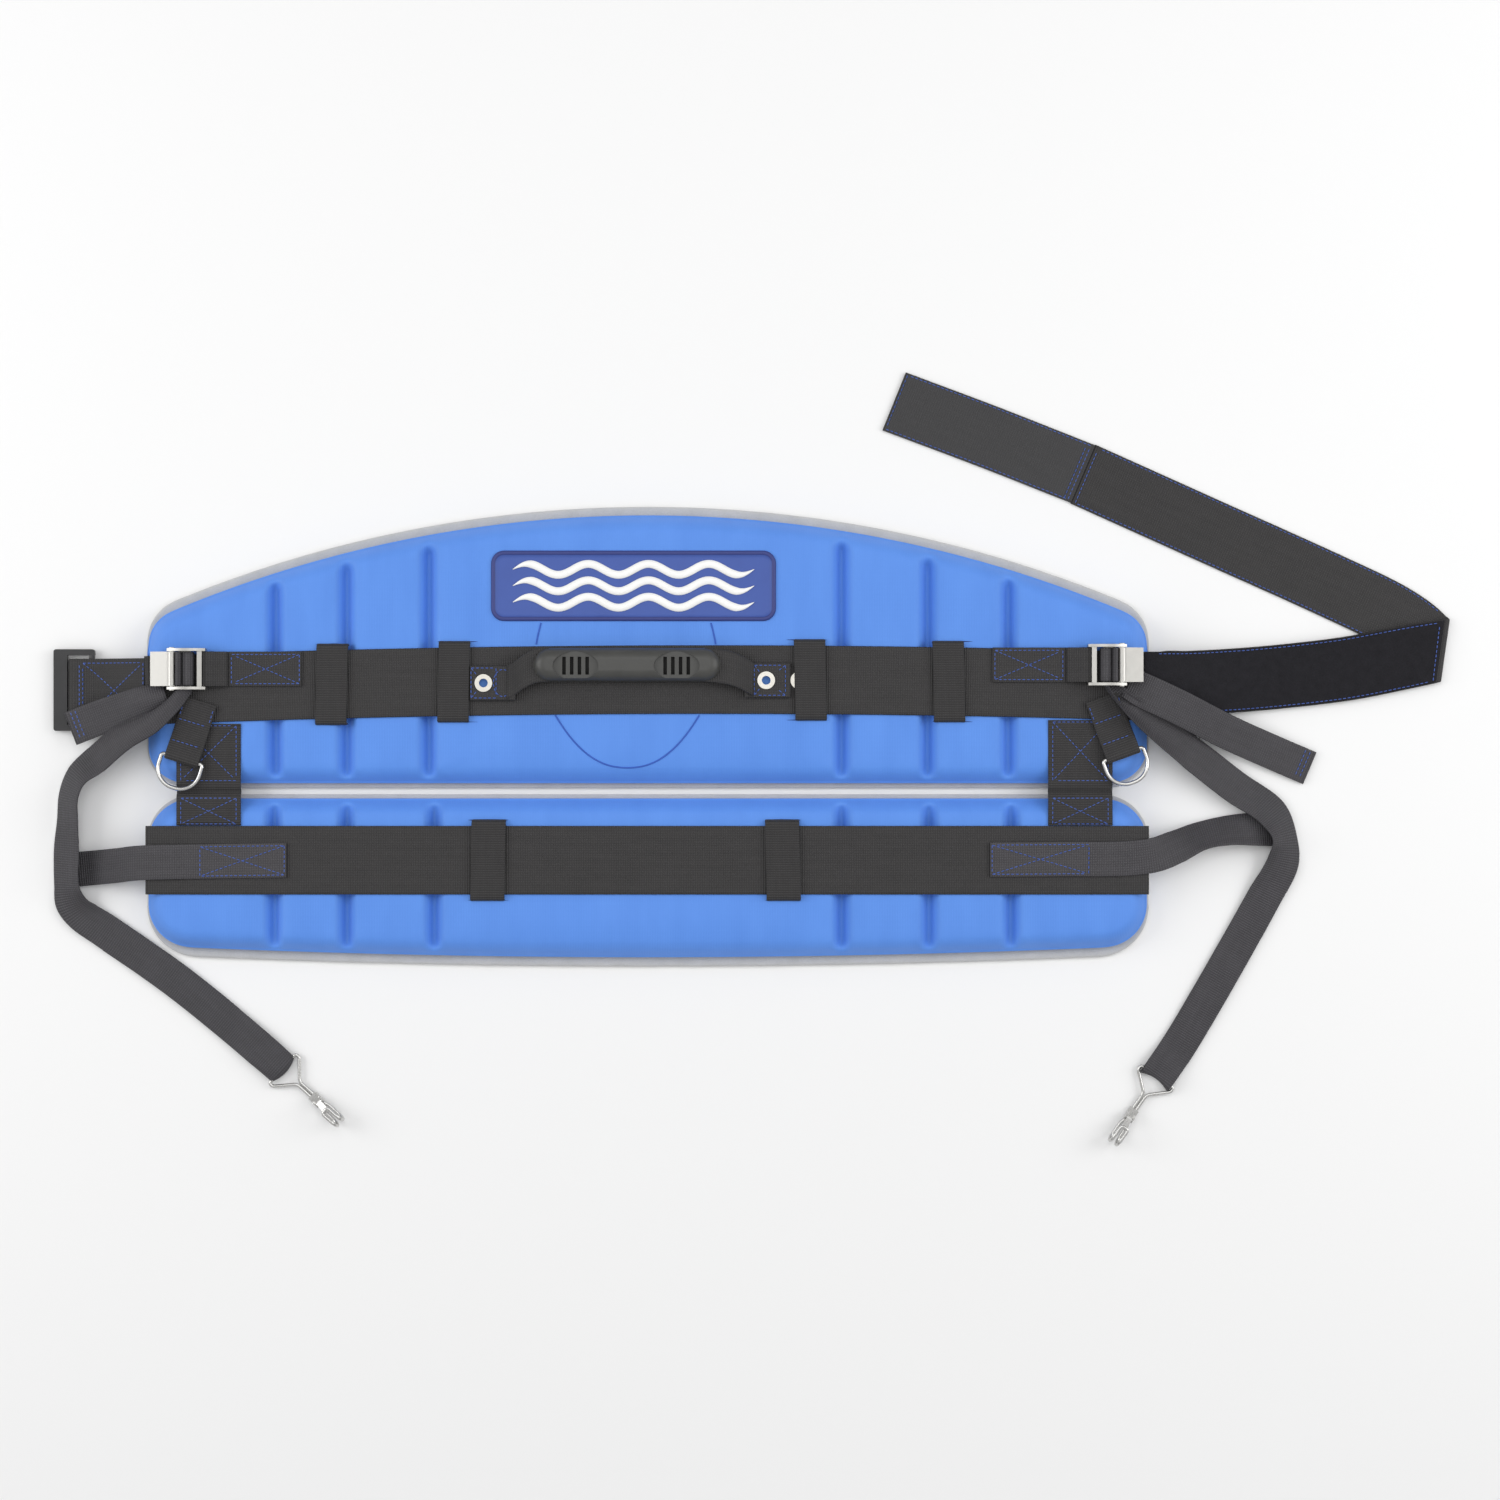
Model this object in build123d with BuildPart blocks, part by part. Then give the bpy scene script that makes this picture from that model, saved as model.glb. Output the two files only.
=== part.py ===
"""Stand-up fishing harness laid flat: a wide back pad, a seat pad, webbing, buckles and snap hooks.

Frame: +X along the pads towards the waist belt's tongue, +Y from the seat pad towards the top of the back
pad, +Z from the lining up to the outer face. The lining rests on Z = 0. The origin lies under the wide
belt, midway between the pads' ends. Millimetres.
"""
from math import cos, radians, sin
import os

from build123d import *

os.makedirs("parts", exist_ok=True)

# ---- Driving dimensions -------------------------------------------------------------------------
LINING_T = 4.0            # grey lining and its turned-up edge
PAD_TOP = 20.0            # height of the moulded cover's panels
COVER_SKIN = 2.0          # thickness of the moulded cover over the foam
GROOVE_DEPTH = 7.0        # moulded channels between the panels
GROOVE_WIDTH = 12.0
PAD_HALF = 368.0          # half the length of both pads

WEB = 1.6                 # thickness of the wide webbing
WEB_THIN = 1.5            # thickness of the 1 inch webbing
BELT_WIDTH = 50.0         # wide belt, 2 inch webbing
WAIST_WIDTH = 47.0        # waist belt beyond the pads
STRAP = 25.4              # 1 inch webbing
STITCHED = 0.05           # the gap left between two layers that are sewn together

BACK_GROOVES = (-272, -220, -160, 142, 205, 264)
SEAT_GROOVES = (-273, -220, -156, 142, 206, 266)
BACK_KEEPERS = (-230, -141, 119, 220)
SEAT_KEEPERS = (-116, 99)
SEAT_BELT_Y = -124.4

GROMMET_HOLE_R = 3.2
GROMMET_BARREL_R = 3.8
GROMMET_FLANGE_R = 6.4
ANCHOR_GROMMETS = ((-119.2, 4.8), (86.8, 6.8))        # through the belt and the handle's anchors
BELT_GROMMETS = ((-139.0, 4.8), (110.9, 6.8))         # through the belt alone, part hidden by a keeper

BUCKLE_X = 324.0          # distance of each buckle's anchor bar from the middle
BUCKLE_Y = {"left": 15.0, "right": 18.0}
SIDE = {"left": -1, "right": 1}

belt_top = PAD_TOP + WEB                 # upper face of the wide belts
layer = belt_top + STITCHED              # underside of anything sewn on a wide belt
layer_mid = layer + WEB_THIN / 2


def save(part, name):
    """Labels a finished piece and writes it as a node of its own."""
    part.label = name
    export_step(part, f"parts/{name}.step")


# ---- Outlines and webbing -----------------------------------------------------------------------
def pad_outline(half, top_mid, top_end, bottom_mid, bottom_end, top_round, bottom_round):
    """A pad seen from above: crowned top and bottom edges, straight ends and round corners."""
    with BuildSketch() as outline:
        with BuildLine():
            Line((-half, bottom_end), (-half, top_end))
            if top_mid == top_end:
                Line((-half, top_end), (half, top_end))
            else:
                ThreePointArc((-half, top_end), (0, top_mid), (half, top_end))
            Line((half, top_end), (half, bottom_end))
            if bottom_mid == bottom_end:
                Line((half, bottom_end), (-half, bottom_end))
            else:
                ThreePointArc((half, bottom_end), (0, bottom_mid), (-half, bottom_end))
        make_face()
        corners = outline.vertices().group_by(Axis.Y)
        fillet(corners[-1], top_round)
        fillet(outline.vertices().sort_by(Axis.Y)[:2], bottom_round)
    return outline.sketch


def back_outline(inset):
    """inset 0 is the lining's outline; the moulded cover and the foam stand further in."""
    top_inset, side_inset, bottom_inset = inset
    return pad_outline(
        PAD_HALF - side_inset,
        134.7 - top_inset, 57.0 - top_inset,
        -72.0 + bottom_inset, -72.0 + bottom_inset,
        32, 30,
    )


def seat_outline(inset):
    top_inset, side_inset, bottom_inset = inset
    return pad_outline(
        PAD_HALF - side_inset,
        -76.6 - top_inset, -76.6 - top_inset,
        -203.0 + bottom_inset, -194.5 + bottom_inset,
        34, 37,
    )


def ribbon(route, width=STRAP, thickness=WEB_THIN):
    """Webbing along a route of stations: x, y, z, direction across it, its lean and, if bunched, its width.

    The direction across the webbing is an angle in plan, and the lean lifts that edge, both in degrees.
    """
    points = [Vector(*station[:3]) for station in route]
    sections = []
    for i, station in enumerate(route):
        across, lean = radians(station[3]), radians(station[4])
        wide = station[5] if len(station) > 5 else width
        edge = Vector(cos(across) * cos(lean), sin(across) * cos(lean), sin(lean))
        along = points[min(i + 1, len(route) - 1)] - points[max(i - 1, 0)]
        along = (along - edge * along.dot(edge)).normalized()
        with BuildSketch(Plane(origin=points[i], x_dir=edge, z_dir=along)) as section:
            Rectangle(wide, thickness)
        sections.append(section.sketch)
    with BuildPart() as webbing:
        add(sections)
        loft(sections, ruled=True)
    return webbing.part


def strip(path, thickness, y_mid, width):
    """Webbing bent only up and down: its path is drawn in the XZ plane, with 1.5 mm bends."""
    with BuildPart() as bent:
        with BuildSketch(Plane.XZ.offset(-y_mid)):
            with BuildLine():
                FilletPolyline(*path, radius=1.5)
            trace(line_width=thickness)
        extrude(amount=width / 2, both=True)
    return bent.part


def belt_middle(x):
    """Height in Y of the wide back belt's middle, which is bowed towards the top of the pad."""
    return 7.3 - 6.3 * (x / 366) ** 2 + 1.5 * x / 366


# ---- Pads ---------------------------------------------------------------------------------------
def pad(name, outline, insets, grooves, groove_ends):
    """Grey lining, foam core and moulded cover, nested without overlap."""
    cover_inset, foam_inset = insets
    low, high = groove_ends

    def groove_plan(x, grow):
        y_top, y_low = high(x), low
        with Locations((x, (y_top + y_low) / 2)):
            Rectangle(GROOVE_WIDTH + grow, y_top - y_low + grow)

    with BuildPart() as lining:
        add(outline((0, 0, 0)))
        extrude(amount=LINING_T)
        fillet(lining.faces().sort_by(Axis.Z)[-1].edges(), 1.5)
        chamfer(lining.faces().sort_by(Axis.Z)[0].edges(), 1.2)

    with BuildPart() as foam:
        with BuildSketch(Plane.XY.offset(LINING_T)):
            add(outline(foam_inset))
        extrude(amount=PAD_TOP - COVER_SKIN - LINING_T)
        fillet(foam.faces().sort_by(Axis.Z)[-1].edges(), 4)
        with BuildSketch(Plane.XY.offset(PAD_TOP - COVER_SKIN)):
            for x in grooves:
                groove_plan(x, 2 * COVER_SKIN)
        extrude(amount=-GROOVE_DEPTH, taper=20, mode=Mode.SUBTRACT)

    with BuildPart() as cover:
        with BuildSketch(Plane.XY.offset(LINING_T)):
            add(outline(cover_inset))
        extrude(amount=PAD_TOP - LINING_T)
        fillet(cover.faces().sort_by(Axis.Z)[-1].edges(), 6)
        with BuildSketch(Plane.XY.offset(PAD_TOP)):
            for x in grooves:
                groove_plan(x, 0)
        extrude(amount=-GROOVE_DEPTH, taper=20, mode=Mode.SUBTRACT)
        add(foam.part, mode=Mode.SUBTRACT)

    save(lining.part, f"{name}_lining")
    save(foam.part, f"{name}_foam")
    save(cover.part, f"{name}_cover")


def back_groove_top(x):
    """The channels stop 18 mm short of the crowned top edge."""
    return 128.0 - x * x / 1824 - 14


pad("back", back_outline, ((6.6, 2.0, 3.6), (8.6, 4.0, 5.6)), BACK_GROOVES, (-59.0, back_groove_top))
pad("seat", seat_outline, ((2.9, 2.0, 7.0), (4.9, 4.0, 9.0)), SEAT_GROOVES, (-184.0, lambda x: -88.0))


# ---- Badge: a plain plate with a wave motif -----------------------------------------------------
BADGE_AT = (-10.0, 75.8)
BADGE_SIZE = (208.0, 51.5)
BADGE_T = 1.5
WAVE_LENGTH = 44.0
WAVE_RISE = 4.0
STRIPE_PITCH = 12.0
STRIPE_WIDTH = 6.0
STRIPES = 3

with BuildPart() as badge_plate:
    with BuildSketch(Plane.XY.offset(PAD_TOP)):
        with Locations(BADGE_AT):
            RectangleRounded(*BADGE_SIZE, 9.5)
    extrude(amount=BADGE_T)
    chamfer(badge_plate.faces().sort_by(Axis.Z)[-1].edges(), 0.6)
save(badge_plate.part, "badge_plate")


def wave_points(row):
    """Each half wave as start, crest and end, for one stripe of the motif."""
    x0, y0 = BADGE_AT[0] - 2 * WAVE_LENGTH, BADGE_AT[1] + STRIPE_PITCH * (1 - row)
    half = WAVE_LENGTH / 2
    for k in range(8):
        rise = WAVE_RISE if k % 2 == 0 else -WAVE_RISE
        yield (x0 + k * half, y0), (x0 + (k + 0.5) * half, y0 + rise), (x0 + (k + 1) * half, y0)


with BuildPart() as badge_motif:
    with BuildSketch(Plane.XY.offset(PAD_TOP + BADGE_T)):
        for row in range(STRIPES):
            with BuildLine():
                for start, crest, end in wave_points(row):
                    ThreePointArc(start, crest, end)
            trace(line_width=STRIPE_WIDTH)
    extrude(amount=0.6)
save(badge_motif.part, "badge_motif")


# ---- Wide belts and the webbing keepers that hold them to the pads ------------------------------
def back_belt_arc(offset):
    ends = [(x, belt_middle(x) + offset) for x in (-366, 0, 366)]
    return ThreePointArc(*ends)


with BuildPart() as back_belt:
    with BuildSketch(Plane.XY.offset(PAD_TOP)):
        with BuildLine():
            upper = back_belt_arc(BELT_WIDTH / 2)
            lower = back_belt_arc(-BELT_WIDTH / 2)
            Line(upper @ 0, lower @ 0)
            Line(upper @ 1, lower @ 1)
        make_face()
        with Locations(*ANCHOR_GROMMETS, *BELT_GROMMETS):
            Circle(GROMMET_BARREL_R, mode=Mode.SUBTRACT)
    extrude(amount=WEB)
save(back_belt.part, "back_belt")

with BuildPart() as seat_belt:
    with BuildSketch(Plane.XY.offset(PAD_TOP)):
        with Locations((0, SEAT_BELT_Y)):
            Rectangle(2 * 366, BELT_WIDTH)
    extrude(amount=WEB)
save(seat_belt.part, "seat_belt")


def keeper(name, x, y_mid, width):
    """A short webbing bridge over a wide belt, both its ends tucked into slits in the cover."""
    reach, top = 28.7, belt_top + 0.75 + 0.7
    with BuildPart() as bridge:
        with BuildSketch(Plane.YZ.offset(x)):
            with BuildLine():
                FilletPolyline(
                    (y_mid - reach, PAD_TOP), (y_mid - reach, top),
                    (y_mid + reach, top), (y_mid + reach, PAD_TOP),
                    radius=1.2,
                )
            trace(line_width=1.4)
        extrude(amount=width / 2, both=True)
    save(bridge.part, name)


for number, x in enumerate(BACK_KEEPERS, start=1):
    keeper(f"back_keeper_{number}", x, belt_middle(x), 23)
for number, x in enumerate(SEAT_KEEPERS, start=1):
    keeper(f"seat_keeper_{number}", x, SEAT_BELT_Y, 25)


# ---- Connectors: 2 inch webbing that joins the two pads -----------------------------------------
CONNECTOR_X = {"left": -320.0, "right": 316.0}
CONNECTOR_WIDTH = 47.0

for side, x in CONNECTOR_X.items():
    leaves = {"upper": (belt_middle(x) - BELT_WIDTH / 2 - 1.0, -68.0), "lower": (-81.5, SEAT_BELT_Y + 25.3)}
    for leaf, (y_high, y_low) in leaves.items():
        with BuildPart() as connector:
            with BuildSketch(Plane.XY.offset(PAD_TOP + STITCHED)):
                with Locations((x, (y_high + y_low) / 2)):
                    Rectangle(CONNECTOR_WIDTH, y_high - y_low)
            extrude(amount=WEB_THIN)
        save(connector.part, f"{side}_{leaf}_connector")


# ---- Cam buckles --------------------------------------------------------------------------------
CHEEK_GAP = 26.0          # clear width between the cheeks, for 1 inch webbing
CHEEK_T = 2.0
BAR_R = 1.75              # round bar that the anchor webbing loops round
BAR_Z = layer + WEB_THIN + 0.2 + BAR_R
FRAME_LONG = 25.0
RAIL = (3.5, 1.5)         # bridge between the cheeks over the anchor webbing, long and thick
CHEEK_LOW = layer + 0.3
CHEEK_HIGH = CHEEK_LOW + 11.5
PIN_R = 1.5
PIN_AT = (21.5, CHEEK_LOW + 7.0)          # outward from the anchor bar, and height
LEVER_REACH = 15.5
LEVER_WIDTH = CHEEK_GAP - 1.0
SPRING_GAP = 6.0


def buckle_plane(side, z=0.0):
    """Local x points outward from the middle of the harness, with the anchor bar at 0."""
    outward = SIDE[side]
    return Plane(origin=(outward * BUCKLE_X, BUCKLE_Y[side], z), x_dir=(outward, 0, 0), z_dir=(0, 0, 1))


def buckle_side_plane(side, y_local):
    """Plane across the buckle: local x outward, local y up."""
    outward = SIDE[side]
    origin = (outward * BUCKLE_X, BUCKLE_Y[side] + outward * y_local, 0)
    return Plane(origin=origin, x_dir=(outward, 0, 0), z_dir=(0, -outward, 0))


def buckle_anchor(side):
    """1 inch webbing sewn on the back belt, looped round the buckle's bar and back on itself."""
    outward = SIDE[side]
    loop_r = BAR_R + 0.2 + WEB_THIN / 2
    with BuildPart() as anchor:
        with BuildSketch(buckle_side_plane(side, 0)):
            with BuildLine():
                Line((-72, layer_mid), (0, layer_mid))
                CenterArc((0, BAR_Z), loop_r, -90, 180)
                Line((0, BAR_Z + loop_r), (-4, BAR_Z + loop_r))
                Spline(
                    (-4, BAR_Z + loop_r), (-18, layer_mid + WEB_THIN + 0.1),
                    tangents=((-1, 0), (-1, 0)),
                )
            trace(line_width=WEB_THIN)
        extrude(amount=STRAP / 2, both=True)
    save(anchor.part, f"{side}_buckle_anchor")


def buckle_frame(side):
    """Two arched cheeks joined by the round anchor bar, a rail above it and the bed that grips the strap."""
    with BuildPart() as frame:
        for face in (CHEEK_GAP / 2, -CHEEK_GAP / 2 - CHEEK_T):
            with BuildSketch(buckle_side_plane(side, -face)):
                with BuildLine():
                    Polyline((-3, CHEEK_LOW + 8.5), (-3, CHEEK_LOW), (FRAME_LONG, CHEEK_LOW))
                    Line((FRAME_LONG, CHEEK_LOW), (FRAME_LONG, CHEEK_LOW + 8))
                    ThreePointArc(
                        (FRAME_LONG, CHEEK_LOW + 8), (FRAME_LONG * 0.45, CHEEK_HIGH), (-3, CHEEK_LOW + 8.5)
                    )
                make_face()
                with Locations(PIN_AT):
                    Circle(PIN_R, mode=Mode.SUBTRACT)
            extrude(amount=CHEEK_T)
        with BuildSketch(buckle_side_plane(side, 0)):
            with Locations((0, BAR_Z)):
                Circle(BAR_R)
        extrude(amount=CHEEK_GAP / 2 + 0.1, both=True)
        with BuildSketch(buckle_side_plane(side, 0)):
            with Locations((13, CHEEK_LOW + 0.6)):
                Rectangle(9, 1.2)
            with Locations((1.2, CHEEK_LOW + 8.2)):
                Rectangle(*RAIL)
        extrude(amount=CHEEK_GAP / 2 + 0.1, both=True)
    save(frame.part, f"{side}_buckle_frame")


def buckle_lever(side):
    """Thumb plate with a barrel on the pin, a cam nose below it, and a notch in the middle for the spring."""
    px, pz = PIN_AT
    with BuildPart() as lever:
        with BuildSketch(buckle_side_plane(side, 0)):
            with Locations(PIN_AT):
                Circle(3.4)
            with BuildLine():
                Polyline(
                    (px - 2, pz + 2), (px + 3, pz + 3.3), (px + LEVER_REACH, pz + 0.8),
                    (px + LEVER_REACH, pz - 0.8), (px + 3, pz + 1.2), (px - 2, pz - 2), close=True,
                )
            make_face()
            with BuildLine():
                Polyline((px - 3.2, pz), (px - 3.0, pz - 4.4), (px, pz - 3.2), close=True)
            make_face()
            with Locations(PIN_AT):
                Circle(PIN_R + 0.05, mode=Mode.SUBTRACT)
        extrude(amount=LEVER_WIDTH / 2, both=True)
        with BuildSketch(buckle_side_plane(side, 0)):
            with Locations((px - 1, pz - 1.7)):
                Rectangle(9.4, 8.6)
        extrude(amount=SPRING_GAP / 2, both=True, mode=Mode.SUBTRACT)
    save(lever.part, f"{side}_buckle_lever")


def buckle_pin(side):
    with BuildPart() as pin:
        with BuildSketch(buckle_side_plane(side, 0)):
            with Locations(PIN_AT):
                Circle(PIN_R)
        extrude(amount=CHEEK_GAP / 2 + CHEEK_T, both=True)
        for face in (CHEEK_GAP / 2 + CHEEK_T, -CHEEK_GAP / 2 - CHEEK_T - 0.7):
            with BuildSketch(buckle_side_plane(side, -face)):
                with Locations(PIN_AT):
                    Circle(PIN_R + 0.7)
            extrude(amount=0.7)
    save(pin.part, f"{side}_buckle_pin")


def buckle_spring(side):
    """Torsion spring round the pin, in the lever's notch."""
    wire, turns = 0.8, 4
    pitch = (SPRING_GAP - 1.6) / turns
    coil_r = PIN_R + 0.2 + wire / 2
    across = buckle_side_plane(side, 0)
    foot = across.from_local_coords((*PIN_AT, -turns * pitch / 2))
    with BuildPart() as spring:
        with BuildLine():
            coil = Helix(pitch, pitch * turns, coil_r, center=foot, direction=across.z_dir)
        with BuildSketch(Plane(origin=coil @ 0, z_dir=coil % 0)):
            Circle(wire / 2)
        sweep(path=coil, is_frenet=True)
    save(spring.part, f"{side}_buckle_spring")


for side in SIDE:
    buckle_anchor(side)
    buckle_frame(side)
    buckle_lever(side)
    buckle_pin(side)
    buckle_spring(side)


# ---- D-rings on their webbing tabs --------------------------------------------------------------
D_WIRE_R = 1.5
D_BAR_AT = {"left": (-338.5, -50.5), "right": (346.5, -47.0)}
D_HEADING = {"left": -107.0, "right": -70.0}     # direction in plan from the tab to the ring
D_WIDE = 31.0                                     # between the wire centres, across the ring
D_BAR_Z = layer + WEB_THIN + 0.3 + D_WIRE_R + 0.1


def tab_plane(side, upright=False):
    """At the ring's bar: local x runs from the tab to the ring. Upright, local y is up."""
    heading = radians(D_HEADING[side])
    ahead = (cos(heading), sin(heading), 0)
    normal = (sin(heading), -cos(heading), 0) if upright else (0, 0, 1)
    return Plane(origin=(*D_BAR_AT[side], D_BAR_Z), x_dir=ahead, z_dir=normal)


def d_ring(side):
    """Round wire bent to a D, its straight bar inside the tab."""
    half, reach = D_WIDE / 2, 22.0
    corners = ((0, half), (reach, half), (reach, -half), (0, -half))
    with BuildPart() as ring:
        with BuildLine(tab_plane(side)) as path:
            FilletPolyline(*corners, radius=(2.2, 14.5, 14.5, 2.2), close=True)
        wire = path.wire()
        with BuildSketch(Plane(origin=wire @ 0, z_dir=wire % 0)):
            Circle(D_WIRE_R)
        sweep(path=wire)
    save(ring.part, f"{side}_d_ring")


def d_ring_tab(side):
    """1 inch webbing from the belt, over the ring's bar and back under itself."""
    loop_r = D_WIRE_R + 0.3 + WEB_THIN / 2
    with BuildPart() as tab:
        with BuildSketch(tab_plane(side, upright=True)):
            with BuildLine():
                Line((-44, -loop_r + WEB_THIN), (-17, -loop_r + WEB_THIN))
                Spline((-17, -loop_r + WEB_THIN), (0, loop_r), tangents=((1, 0), (1, 0)))
                CenterArc((0, 0), loop_r, 90, -180)
                Line((0, -loop_r), (-16, -loop_r))
            trace(line_width=WEB_THIN)
        extrude(amount=STRAP / 2, both=True)
    save(tab.part, f"{side}_d_ring_tab")


for side in SIDE:
    d_ring(side)
    d_ring_tab(side)


# ---- Carry handle -------------------------------------------------------------------------------
GRIP_SIZE = (137.0, 24.3, 13.8)
RECESS_AT = ((-51.6, 17.2), (21.8, 17.2))    # middles of the grip's two finger recesses
RECESS_RADII = (16.6, 10.4)
RECESS_DEPTH = 2.6
SLOT_PITCH = 5.6          # four slots in each recess
SLOT_SIZE = (2.6, 13.0)
SLOT_DEPTH = 4.8
GRIP_AT = (-14.4, 18.0, belt_top + 0.8)
GRIP_MID_Z = GRIP_AT[2] + GRIP_SIZE[2] / 2
ANCHORS = {"left": (-129.0, -98.0, 4.8), "right": (104.3, 75.0, 6.8)}   # outer end, inner end, middle Y


def handle_anchor(side):
    """Doubled webbing sewn on the belt, rising at its inner end to meet the handle."""
    outer, inner, y_mid = ANCHORS[side]
    ahead = 1 if inner > outer else -1
    with BuildPart() as anchor:
        with BuildSketch(Plane.XZ.offset(-y_mid)):
            with BuildLine():
                Line((outer, layer + WEB_THIN), (inner - ahead * 4, layer + WEB_THIN))
                Spline(
                    (inner - ahead * 4, layer + WEB_THIN), (inner + ahead * 5, layer + 3.6),
                    tangents=((ahead, 0), (ahead, 0.6)),
                )
            trace(line_width=2 * WEB_THIN)
        extrude(amount=STRAP / 2, both=True)
        with BuildSketch(Plane.XY.offset(PAD_TOP)):
            with Locations(*ANCHOR_GROMMETS, *BELT_GROMMETS):
                Circle(GROMMET_BARREL_R)
        extrude(amount=12, mode=Mode.SUBTRACT)
    save(anchor.part, f"{side}_handle_anchor")


with BuildPart() as handle_grip:
    with BuildSketch(Plane.XY.offset(GRIP_AT[2])):
        with Locations(GRIP_AT[:2]):
            RectangleRounded(GRIP_SIZE[0], GRIP_SIZE[1], 12)
    extrude(amount=GRIP_SIZE[2])
    fillet(handle_grip.faces().sort_by(Axis.Z)[-1].edges(), 8.5)
    fillet(handle_grip.faces().sort_by(Axis.Z)[0].edges(), 3.5)
    with BuildSketch(Plane.XY.offset(GRIP_AT[2] + GRIP_SIZE[2])):
        with Locations(*RECESS_AT):
            Ellipse(*RECESS_RADII)
    extrude(amount=-RECESS_DEPTH, mode=Mode.SUBTRACT)
    with BuildSketch(Plane.XY.offset(GRIP_AT[2] + GRIP_SIZE[2])):
        with Locations(*RECESS_AT):
            with GridLocations(SLOT_PITCH, 1, 4, 1):
                Rectangle(*SLOT_SIZE)
    extrude(amount=-SLOT_DEPTH, mode=Mode.SUBTRACT)
    with BuildSketch(Plane.YZ.offset(GRIP_AT[0])):
        with Locations((GRIP_AT[1], GRIP_MID_Z)):
            Rectangle(21, 2.0)
    extrude(amount=GRIP_SIZE[0], both=True, mode=Mode.SUBTRACT)
save(handle_grip.part, "handle_grip")

with BuildPart() as handle_webbing:
    with Locations((GRIP_AT[0], GRIP_AT[1], GRIP_MID_Z)):
        Box(GRIP_SIZE[0] + 12, 20.5, 1.8)
save(handle_webbing.part, "handle_webbing")

for side in ANCHORS:
    handle_anchor(side)


# Eyelets: a barrel through the webbing and a rolled flange on its upper face.
with BuildPart() as grommets:
    for places, top in ((ANCHOR_GROMMETS, layer + 2 * WEB_THIN), (BELT_GROMMETS, belt_top)):
        with BuildSketch(Plane.XY.offset(PAD_TOP)):
            with Locations(*places):
                Circle(GROMMET_BARREL_R)
        extrude(amount=top - PAD_TOP)
        with BuildSketch(Plane.XY.offset(top)):
            with Locations(*places):
                Circle(GROMMET_FLANGE_R)
        extrude(amount=0.6)
        with BuildSketch(Plane.XY.offset(PAD_TOP)):
            with Locations(*places):
                Circle(GROMMET_HOLE_R)
        extrude(amount=top - PAD_TOP + 0.6, mode=Mode.SUBTRACT)
save(grommets.part, "grommets")


# ---- Hook straps: one length of 1 inch webbing on each side -------------------------------------
HOOK_BAR_R = 1.25
FOLD_WIDTH = 24.4         # the webbing draws in a little round the bar
HOOK_BAR_Z = WEB_THIN + 0.15 + HOOK_BAR_R
HOOK_AT = {"left": (-268.6, -278.2), "right": (374.3, -284.1)}
HOOK_HEADING = {"left": -42.0, "right": -125.0}
UPPER_Z = 1.5 * WEB_THIN + 0.15           # middle of the upper of two layers lying on the floor
LOWER_Z = 0.5 * WEB_THIN

# Stations from below the buckle, off the pad's corner and along the floor towards the hook.
STRAP_ROUTE = {
    "left": (
        (-339, -4, 30.0, -49, 50, 12), (-361, -22, 31.5, -55, 38, 20), (-383, -34, 25.0, -57, 30, 24),
        (-405, -52, 13.5, -50, 35), (-419, -63, 12.5, -35, 52), (-425, -77, 12.5, -14, 58),
        (-426, -96, 11.5, -2, 50), (-426, -117, 9.0, -3, 36), (-428, -144, 9.5, 0, 40),
        (-424, -157, 6.0, 16, 15), (-415, -166, 4.0, 40, 5), (-399, -177, UPPER_Z, 54, 0),
        (-349, -212, UPPER_Z, 54, 0), (-310, -243, UPPER_Z, 51, 0), (-283, -265.5, 4.2, 49, 0),
    ),
    "right": (
        (337, -1, 30.0, -132, 50, 12), (347, -10, 32.5, -130, 45, 15), (363, -23, 31.5, -125, 38, 18),
        (399, -47, 13.5, -124, 18), (431, -71, 6.0, -127, 15), (458, -90, 6.5, -143, 20),
        (467, -108, 9.5, -170, 38), (466, -127, 6.0, -193, 15), (453, -152, 3.2, -206, 3),
        (441, -174, UPPER_Z, -209, 0), (415, -220, UPPER_Z, -210, 0), (390, -262, UPPER_Z, -212, 0),
        (381, -274.5, 4.2, -214, 0),
    ),
}
# Where the lower layer runs back from the hook, ending under the strap near the seat branch.
RETURN_ROUTE = {
    "left": ((-310, -243, LOWER_Z, 51, 0), (-349, -212, LOWER_Z, 54, 0), (-394, -181, LOWER_Z, 54, 0)),
    "right": ((390, -262, LOWER_Z, -212, 0), (415, -220, LOWER_Z, -210, 0), (439, -178, LOWER_Z, -209, 0)),
}


def hook_wrap(side):
    """Stations of the half turn round the hook's bar, from the upper layer to the lower one."""
    heading = radians(HOOK_HEADING[side])
    across = HOOK_HEADING[side] - 90 * SIDE[side]
    radius = HOOK_BAR_R + 0.15 + WEB_THIN / 2
    x, y = HOOK_AT[side]
    for angle in (90, 45, 0, -45, -90):
        out, up = radius * cos(radians(angle)), radius * sin(radians(angle))
        yield x + out * cos(heading), y + out * sin(heading), HOOK_BAR_Z + up, across, 0, FOLD_WIDTH


def hook_strap(side):
    route = (*STRAP_ROUTE[side], *hook_wrap(side), *RETURN_ROUTE[side])
    save(ribbon(route), f"{side}_hook_strap")


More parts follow.
